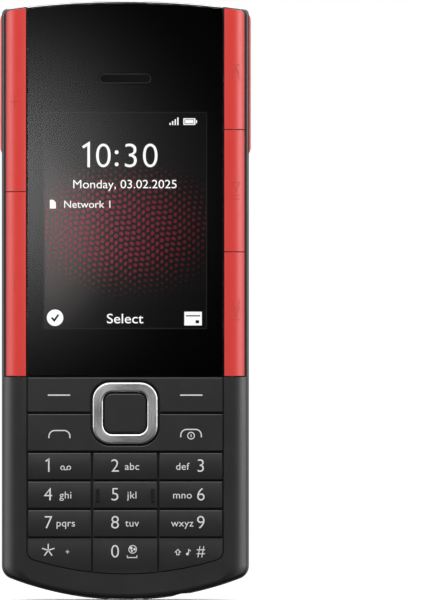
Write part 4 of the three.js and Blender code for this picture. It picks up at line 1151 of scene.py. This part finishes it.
# Where a mark lies: its surface, how far it stands proud of it and how far it is sunk in.
faceLayer = {"level": front["faceY"], "proud": 0.015, "sunk": 0.05}
sideLayer = {"level": onSide, "proud": 0.012, "sunk": 0.2}
litLayer = {"level": -6.58, "proud": 0.02, "sunk": 0.01}
cutLayer = {"level": -6.58, "proud": 0.03, "sunk": -0.021}


def stroke(path, width, closed=False, layer=faceLayer):
    # A flat-topped line along a path, split evenly so that it can follow a curved surface.
    path = np.asarray(path, float)
    if not closed:
        lengths = np.r_[0, np.cumsum(np.linalg.norm(np.diff(path, axis=0), axis=1))]
        even = np.linspace(0, lengths[-1], max(int(lengths[-1] / 0.25), 1) + 1)
        even = np.unique(np.round(np.r_[lengths, even], 5))
        path = np.column_stack((np.interp(even, lengths, path[:, 0]), np.interp(even, lengths, path[:, 1])))
    half = width / 2
    points, faces = carriedAlong(path, [(-half, 0), (half, 0), (half, 1), (-half, 1)], closed)
    level = layer["level"](points[:, 0]) if callable(layer["level"]) else layer["level"]
    points[:, 1] = np.where(points[:, 1] > 0.5, level + layer["sunk"], level - layer["proud"])
    return points, faces


def disc(x, z, radius):
    level = faceLayer["level"]
    return plate(circle(x, z, radius), level - faceLayer["proud"], level + faceLayer["sunk"])


def lettering(text, x, z, height, align="CENTER", thin=0.0, stretch=1.0, spacing=1.0, layer=faceLayer):
    # Text as a mesh stood upright: its X stays, its Y becomes Z and its height comes towards the viewer.
    deep = (layer["proud"] + layer["sunk"]) / 2
    curve = bpy.data.curves.new("text", "FONT")
    curve.body = text
    curve.size = height / 0.715
    curve.align_x = align
    curve.offset = thin
    curve.space_character = spacing
    curve.extrude = deep
    curve.resolution_u = 6
    thing = bpy.data.objects.new("text", curve)
    scene.collection.objects.link(thing)
    bpy.context.view_layer.update()
    mesh = bpy.data.meshes.new_from_object(thing.evaluated_get(bpy.context.evaluated_depsgraph_get()))
    flat = np.zeros(len(mesh.vertices) * 3)
    mesh.vertices.foreach_get("co", flat)
    flat = flat.reshape(-1, 3)
    faces = [list(face.vertices) for face in mesh.polygons]
    bpy.data.objects.remove(thing)
    bpy.data.curves.remove(curve)
    bpy.data.meshes.remove(mesh)
    middle = layer["level"] - layer["proud"] + deep
    return np.column_stack((flat[:, 0] * stretch + x, middle - flat[:, 2], flat[:, 1] + z)), faces


def digit(letter, x, z, height, layer=faceLayer):
    # A one is a stroke with a flag at its top, and the other digits are text.
    if letter != "1":
        return lettering(letter, x, z, height, thin=height * -0.013, layer=layer)
    stem = x + height * 0.04
    path = [(x - height * 0.2, z + height * 0.8), (stem, z + height * 0.955), (stem, z)]
    return stroke(path, height * 0.105, layer=layer)


def mark(key, *shapes, slot="key_plastic", material=legendPaint):
    # On a crowned key the marks reach back as far as the crown falls away.
    points, faces = together(*shapes)
    if key in keyNames:
        points[points[:, 1] > front["faceY"], 1] = front["faceY"] + keyPad["crown"]
    printPiece("legend_" + key, (points, faces), key, material)


def about(x, z, *offsets):
    return [(x + right, z + up) for right, up in offsets]


legend = {
    "number": 2.95, "letters": 1.62, "lettersUp": 0.46, "rows": (30.33, 23.92, 17.65, 11.16),
    "numberX": (-17.2, -2.25, 16.94), "lettersX": (-13.3, 1.55, 12.8), "line": 0.2,
    "words": {"2": "abc", "3": "def", "4": "ghi", "5": "jkl", "6": "mno", "7": "pqrs", "8": "tuv",
              "9": "wxyz"},
    "tape": ((-14.0, -12.6), 0.9, 0.4),
}
line = legend["line"]
for index, key in enumerate(keyNames[:9]):
    row, column = divmod(index, 3)
    z = legend["rows"][row] - legend["number"] / 2
    marks = [digit(key[-1], legend["numberX"][column], z, legend["number"])]
    if key[-1] in legend["words"]:
        marks.append(lettering(legend["words"][key[-1]], legend["lettersX"][column], z + legend["lettersUp"],
                               legend["letters"], stretch=1.04, spacing=1.04))
    else:
        reels, up, radius = legend["tape"]
        marks += [stroke(circle(x, z + up, radius, 20), line, True) for x in reels]
        marks.append(stroke([(x, z + up - radius) for x in reels], line))
    mark(key, *marks)

lowZ = legend["rows"][3]
numberLow = lowZ - legend["number"] / 2
starX, starZ, starReach = legend["numberX"][0], lowZ + 0.14, 1.47
rays = [(starReach * math.sin(turn), starReach * math.cos(turn))
        for turn in np.radians([0, 72, 144, 216, 288])]
plusX, plusZ, plusHalf = -12.9, lowZ - 0.18, 0.38
mark("key_star", *[stroke(about(starX, starZ, (0, 0), ray), 0.26) for ray in rays],
     stroke(about(plusX, plusZ, (-plusHalf, 0), (plusHalf, 0)), line),
     stroke(about(plusX, plusZ, (0, -plusHalf), (0, plusHalf)), line))
globeX, globeZ = 1.68, lowZ + 0.36
mark("key_0", digit("0", legend["numberX"][1], numberLow, legend["number"]),
     stroke(about(0.5, lowZ, (0, -1.0), (0, -1.48), (2.13, -1.48), (2.13, -1.0)), line),
     stroke(circle(globeX, globeZ, 0.86), 0.18, True), disc(globeX - 0.34, globeZ + 0.28, 0.33),
     disc(globeX - 0.16, globeZ - 0.34, 0.24), disc(globeX + 0.42, globeZ + 0.02, 0.27))
shiftSign = about(11.8, lowZ, (-0.58, -0.25), (0, 0.34), (0.58, -0.25), (0.28, -0.25), (0.28, -0.85),
                  (-0.28, -0.85), (-0.28, -0.25))
mark("key_hash", lettering("#", legend["numberX"][2], numberLow + 0.3, legend["number"] * 0.89, thin=-0.03,
                           stretch=0.88),
     stroke(shiftSign, 0.17, True), disc(13.94, lowZ - 0.68, 0.3),
     stroke(about(14.2, lowZ, (0, -0.68), (0, 0.36), (0.46, -0.06)), 0.18))


def archPath(x, z, halfWidth, height, corner=1.3):
    # Up, round a corner, across, round the other corner and down.
    left = arcPoints((x - halfWidth + corner, z + height - corner), corner, math.pi, quarterTurn, 8)
    right = arcPoints((x + halfWidth - corner, z + height - corner), corner, quarterTurn, 0, 8)
    return np.vstack(([x - halfWidth, z], left, right, [x + halfWidth, z]))


softX, softZ, softHalf = 14.8, 46.02, 2.5
powerX, powerZ = 14.75, 36.95
for key, x in (("soft_key_left", -softX), ("soft_key_right", softX)):
    mark(key, stroke(about(x, softZ, (-softHalf, 0), (softHalf, 0)), 0.28))
mark("call_key", stroke(archPath(-14.7, 36.4, 2.35, 1.7), 0.25))
mark("end_key", stroke(archPath(powerX, 36.6, 2.3, 1.75), 0.25),
     stroke(circle(powerX, powerZ, 0.75), line, True),
     stroke(about(powerX, powerZ, (0, -0.33), (0, 0.33)), line))

signX = (23.85, 24.75, 25.65)


def sideMark(key, *paths):
    # The marks take the darker red, painted shade of their engraving.
    strokes = [stroke(path, 0.26, layer=sideLayer) for path in paths]
    mark(key, *strokes, slot="red_plastic", material=engravingShadeRed)


def across(z):
    return [(signX[0], z), (signX[2], z)]


def pointed(z, tip):
    return [(signX[0], z), (signX[1], tip), (signX[2], z)]


sideMark("volume_up_button", [(-25.9, 111.7), (-23.6, 111.7)], [(-24.75, 110.3), (-24.75, 113.1)])
sideMark("volume_down_button", [(-24.75, 69.4), (-24.75, 72.0)])
sideMark("previous_button", across(119.9), pointed(116.6, 119.2), pointed(118.0, 119.5))
sideMark("play_button", pointed(93.6, 91.6) + [(signX[0], 93.6)], across(90.7), across(89.9))
sideMark("next_button", pointed(67.2, 64.8), pointed(65.8, 63.4), across(62.9))

# The symbols' places are on a grid that runs right and down, with so many steps to the mm. The origin is where
# the phone's middle line meets the ground.
screen = {
    "origin": (125.3, 600.6), "steps": 4.47, "ends": (-6.6, -6.57), "clock": 5.55, "clockLow": 167.0,
    "digits": (("1", 87.8), ("0", 103.5), ("3", 131.2), ("0", 150.4)), "colon": (116.8, 165.8),
    # text, place, height, and how it is set
    "texts": (("Monday, 03.02.2025", (125, 188), 1.95, {"stretch": 1.06}),
              ("Network 1", (63.5, 207.5), 1.66, {"align": "LEFT", "stretch": 1.05, "thin": 0.006}),
              ("Select", (125, 323), 2.2, {"stretch": 1.12, "thin": 0.01})),
    "bars": (169.6, 2.6, 1.341, 124.8, 122.6, 1.8),
    "cardCorners": ((50, 208.3), (56, 208.3), (56, 202.3), (53.5, 199.5), (50, 199.5)),
    "boxes": (((183.5, 124.6), (195.5, 118.0)), ((196.0, 122.8), (197.2, 119.9)),
              ((184.5, 325.2), (202, 311.5))),
    "tickDisc": (55.2, 317.5), "tick": ((51.8, 317.3), (54.4, 320.3), (58.6, 314.4)), "cutLift": 0.015,
    "cutBoxes": (((186.2, 316.2), (200.3, 315.0)), ((195.8, 323.0), (199.2, 320.0))),
    "batteryLine": ((185, 123.2), (194, 123.2), (194, 119.4), (185, 119.4)),
}


def spot(x, z):
    # The distance from the grid's origin over its steps to the mm.
    return (x - screen["origin"][0]) / screen["steps"], (screen["origin"][1] - z) / screen["steps"]


def spots(places):
    return np.array([spot(*place) for place in places])


def filled(low, high, lift=0.0):
    (left, bottom), (right, top) = spots((low, high))
    near, far = screen["ends"]
    return block(left, right, near - lift, far - lift, bottom, top)


symbols = [digit(letter, *spot(x, screen["clockLow"]), screen["clock"], litLayer)
           for letter, x in screen["digits"]]
symbols.append(lettering(":", *spot(*screen["colon"]), screen["clock"], thin=-0.03, layer=litLayer))
symbols += [lettering(text, *spot(*place), height, layer=litLayer, **ways)
            for text, place, height, ways in screen["texts"]]
barStart, barStep, barWidth, barLow, barHigh, barRise = screen["bars"]
for step in range(4):
    left = barStart + step * barStep
    symbols.append(filled((left, barLow), (left + barWidth, barHigh - step * barRise)))
symbols += [filled(*ends) for ends in screen["boxes"]]
symbols.append(plate(spots(screen["cardCorners"]), *screen["ends"]))
symbols.append(plate(circle(*spot(*screen["tickDisc"]), 1.85, 40), *screen["ends"]))
cuts = [stroke(spots(screen["tick"]), 0.42, layer=cutLayer),
        stroke(spots(screen["batteryLine"]), 0.13, True, cutLayer)]
cuts += [filled(*ends, screen["cutLift"]) for ends in screen["cutBoxes"]]
printPiece("screen_cuts", together(*cuts), "phone", maskPaint)
printPiece("screen_symbols", together(*symbols), "phone", makeMaterial("litSymbols", litSymbols))
print("marks made")


# Studio: pale floor, white surroundings, soft lamps and a card whose reflection is the glass's sheen

# The fade is in metres, and the surroundings' limits are parts of a direction.
studio = {
    "floorRadius": 500.0, "floorThickness": 2.0, "fadeStart": 0.05, "fadeEnd": 0.13, "floorColour": 0.86,
    "ambient": 0.66, "ambientTilt": 0.4, "frontDark": -0.6, "frontBright": -0.08, "rearBright": 0.45,
    "rearDark": 0.9, "topPanel": 0.8, "topLow": 0.1, "topHigh": 0.8, "walls": 1.6, "sideTilt": 0.2,
    "underDark": -0.75, "underBright": 0.0, "under": 0.12, "frontGlow": 0.82, "glowLow": -0.14,
    "glowHigh": 0.36, "holeDark": 0.045, "holeBright": 0.08,
}
sheen = {
    "distance": 140.0, "middleX": -14.8, "fallX": 9.0, "middleZ": 94.8, "spreadZ": 19.0, "leftEnd": -70.0,
    "leftFull": -40.0, "size": (-75.0, 45.0, 30.0, 160.0), "strength": 3.8,
}
eye = {"place": (21.45, -2200.0, 67.3), "lens": 588.1, "sensor": 36.0}


def lightRays(tree, *kinds):
    # One for any of the named kinds of ray, else nought.
    path = tree.nodes.new("ShaderNodeLightPath").outputs
    value = Signal(path[kinds[0]])
    for kind in kinds[1:]:
        value = maths("ADD", value, Signal(path[kind]), clamp=True)
    return value


def glowing(tree, strength):
    return wired(tree, "Emission", {"Color": (1, 1, 1), "Strength": strength})


def paleFloor(tree):
    # Pale and matt near the phone, and plain white to the eye further out.
    x, y, _ = apart(objectPlace(tree))
    fade = spread(lengthOf(x, y), studio["fadeStart"], studio["fadeEnd"], smooth=True)
    share = fade * lightRays(tree, "Is Camera Ray", "Is Transmission Ray")
    principled = Signal(tree.nodes["Principled BSDF"].outputs[0])
    mixed = wired(tree, "MixShader", {0: share, 1: principled, 2: glowing(tree, 1.0)})
    feed(tree.nodes["Material Output"].inputs["Surface"], mixed)
    pale = studio["floorColour"]
    return {"Base Color": blended(noiseOver(objectPlace(tree), 1200.0), (pale,) * 3, (pale + 0.02,) * 3),
            "Roughness": 0.9, "Specular IOR Level": 0.0}


def sheenGlow(tree):
    # A soft glow: a bell curve up and down, times a slope across that dies away to the right.
    tree.nodes.remove(tree.nodes["Principled BSDF"])
    x, _, z = apart(objectPlace(tree))
    out = (x - sheen["middleX"] * mm) / (sheen["fallX"] * mm)
    up = (z - sheen["middleZ"] * mm) / (sheen["spreadZ"] * mm)
    slope = maths("DIVIDE", 1.0, maths("EXPONENT", out) + 1.0)
    bell = maths("EXPONENT", up * up * -0.5)
    left = spread(x, sheen["leftEnd"] * mm, sheen["leftFull"] * mm, smooth=True)
    glow = glowing(tree, slope * bell * left * sheen["strength"])
    feed(tree.nodes["Material Output"].inputs["Surface"], glow)
    return {}


floorOutline = circle(0, 0, studio["floorRadius"], 96)
floor = makePiece("floor", drawnUp(floorOutline, -studio["floorThickness"], 0.0))
floor.data.materials.append(makeMaterial("paleFloor", paleFloor))
floor.visible_glossy = False
floor.visible_diffuse = False

cardLeft, cardRight, cardLow, cardHigh = sheen["size"]
cardCorners = [(cardLeft, cardLow), (cardRight, cardLow), (cardRight, cardHigh), (cardLeft, cardHigh)]
cardPoints = np.array([(x, -sheen["distance"], z) for x, z in cardCorners])
card = makePiece("sheen_card", (cardPoints, [[0, 1, 2, 3]]))
card.data.materials.append(makeMaterial("sheenCard", sheenGlow))
for kind in ("camera", "diffuse", "transmission", "volume_scatter", "shadow"):
    setattr(card, "visible_" + kind, False)


def surroundings():
    # Diffuse light is stronger from above. Reflections show white surroundings that darken towards the
    # ground, a panel overhead, dark cloths straight before and behind the phone, and before it a glow that
    # grows upward, with a hole in its middle. The eye and glass see white.
    world = bpy.data.worlds.new("surroundings")
    world.use_nodes = True
    tree = world.node_tree
    x, y, z = apart(wired(tree, "TexCoord", {}, "Generated"))
    soft = z * studio["ambientTilt"] + studio["ambient"]
    before = spread(y, studio["frontDark"], studio["frontBright"], smooth=True)
    behind = spread(y, studio["rearDark"], studio["rearBright"], smooth=True)
    overhead = spread(z, studio["topLow"], studio["topHigh"], 0.0, studio["topPanel"], smooth=True)
    under = spread(z, studio["underDark"], studio["underBright"], studio["under"], 1.0, smooth=True)
    walls = before * behind * ((x * studio["sideTilt"] + studio["walls"]) * under)
    hole = spread(lengthOf(x, z), studio["holeDark"], studio["holeBright"], smooth=True)
    rising = spread(z, studio["glowLow"], studio["glowHigh"], 0.0, studio["frontGlow"], smooth=True)
    glow = rising * spread(y, studio["frontBright"], studio["frontDark"])
    level = blended(lightRays(tree, "Is Glossy Ray"), soft, walls + overhead + glow * hole)
    backdrop = tree.nodes["Background"].inputs
    seen = lightRays(tree, "Is Camera Ray", "Is Transmission Ray")
    feed(backdrop["Strength"], blended(seen, level, (1, 1, 1)))
    feed(backdrop["Color"], (1, 1, 1))
    world.cycles.sampling_method = "NONE"
    scene.world = world


surroundings()

phoneMiddle = (0, 0, 67)
lampSide = 420
lamps = {
    # place in mm, watts
    "keyLamp": ((-60, -760, 640), 5.6), "rearLamp": ((60, 760, 640), 5.6),
    "leftLamp": ((-760, 40, 260), 1.5), "rightLamp": ((760, 40, 260), 2.2),
}
for name, (place, watts) in lamps.items():
    light = bpy.data.lights.new(name, "AREA")
    light.shape = "SQUARE"
    light.size = lampSide * mm
    light.energy = watts
    lamp = bpy.data.objects.new(name, light)
    scene.collection.objects.link(lamp)
    lamp.location = [number * mm for number in place]
    lamp.rotation_euler = (Vector(phoneMiddle) * mm - lamp.location).to_track_quat("-Z", "Y").to_euler()
    lamp.visible_camera = False

viewerLens = bpy.data.cameras.new("camera")
viewerLens.lens = eye["lens"]
viewerLens.sensor_width = eye["sensor"]
viewerLens.clip_end = 20
viewer = bpy.data.objects.new("camera", viewerLens)
scene.collection.objects.link(viewer)
viewer.location = [number * mm for number in eye["place"]]
viewer.rotation_euler = (quarterTurn, 0, 0)
scene.camera = viewer
scene.view_settings.view_transform = "Standard"
print("studio made")
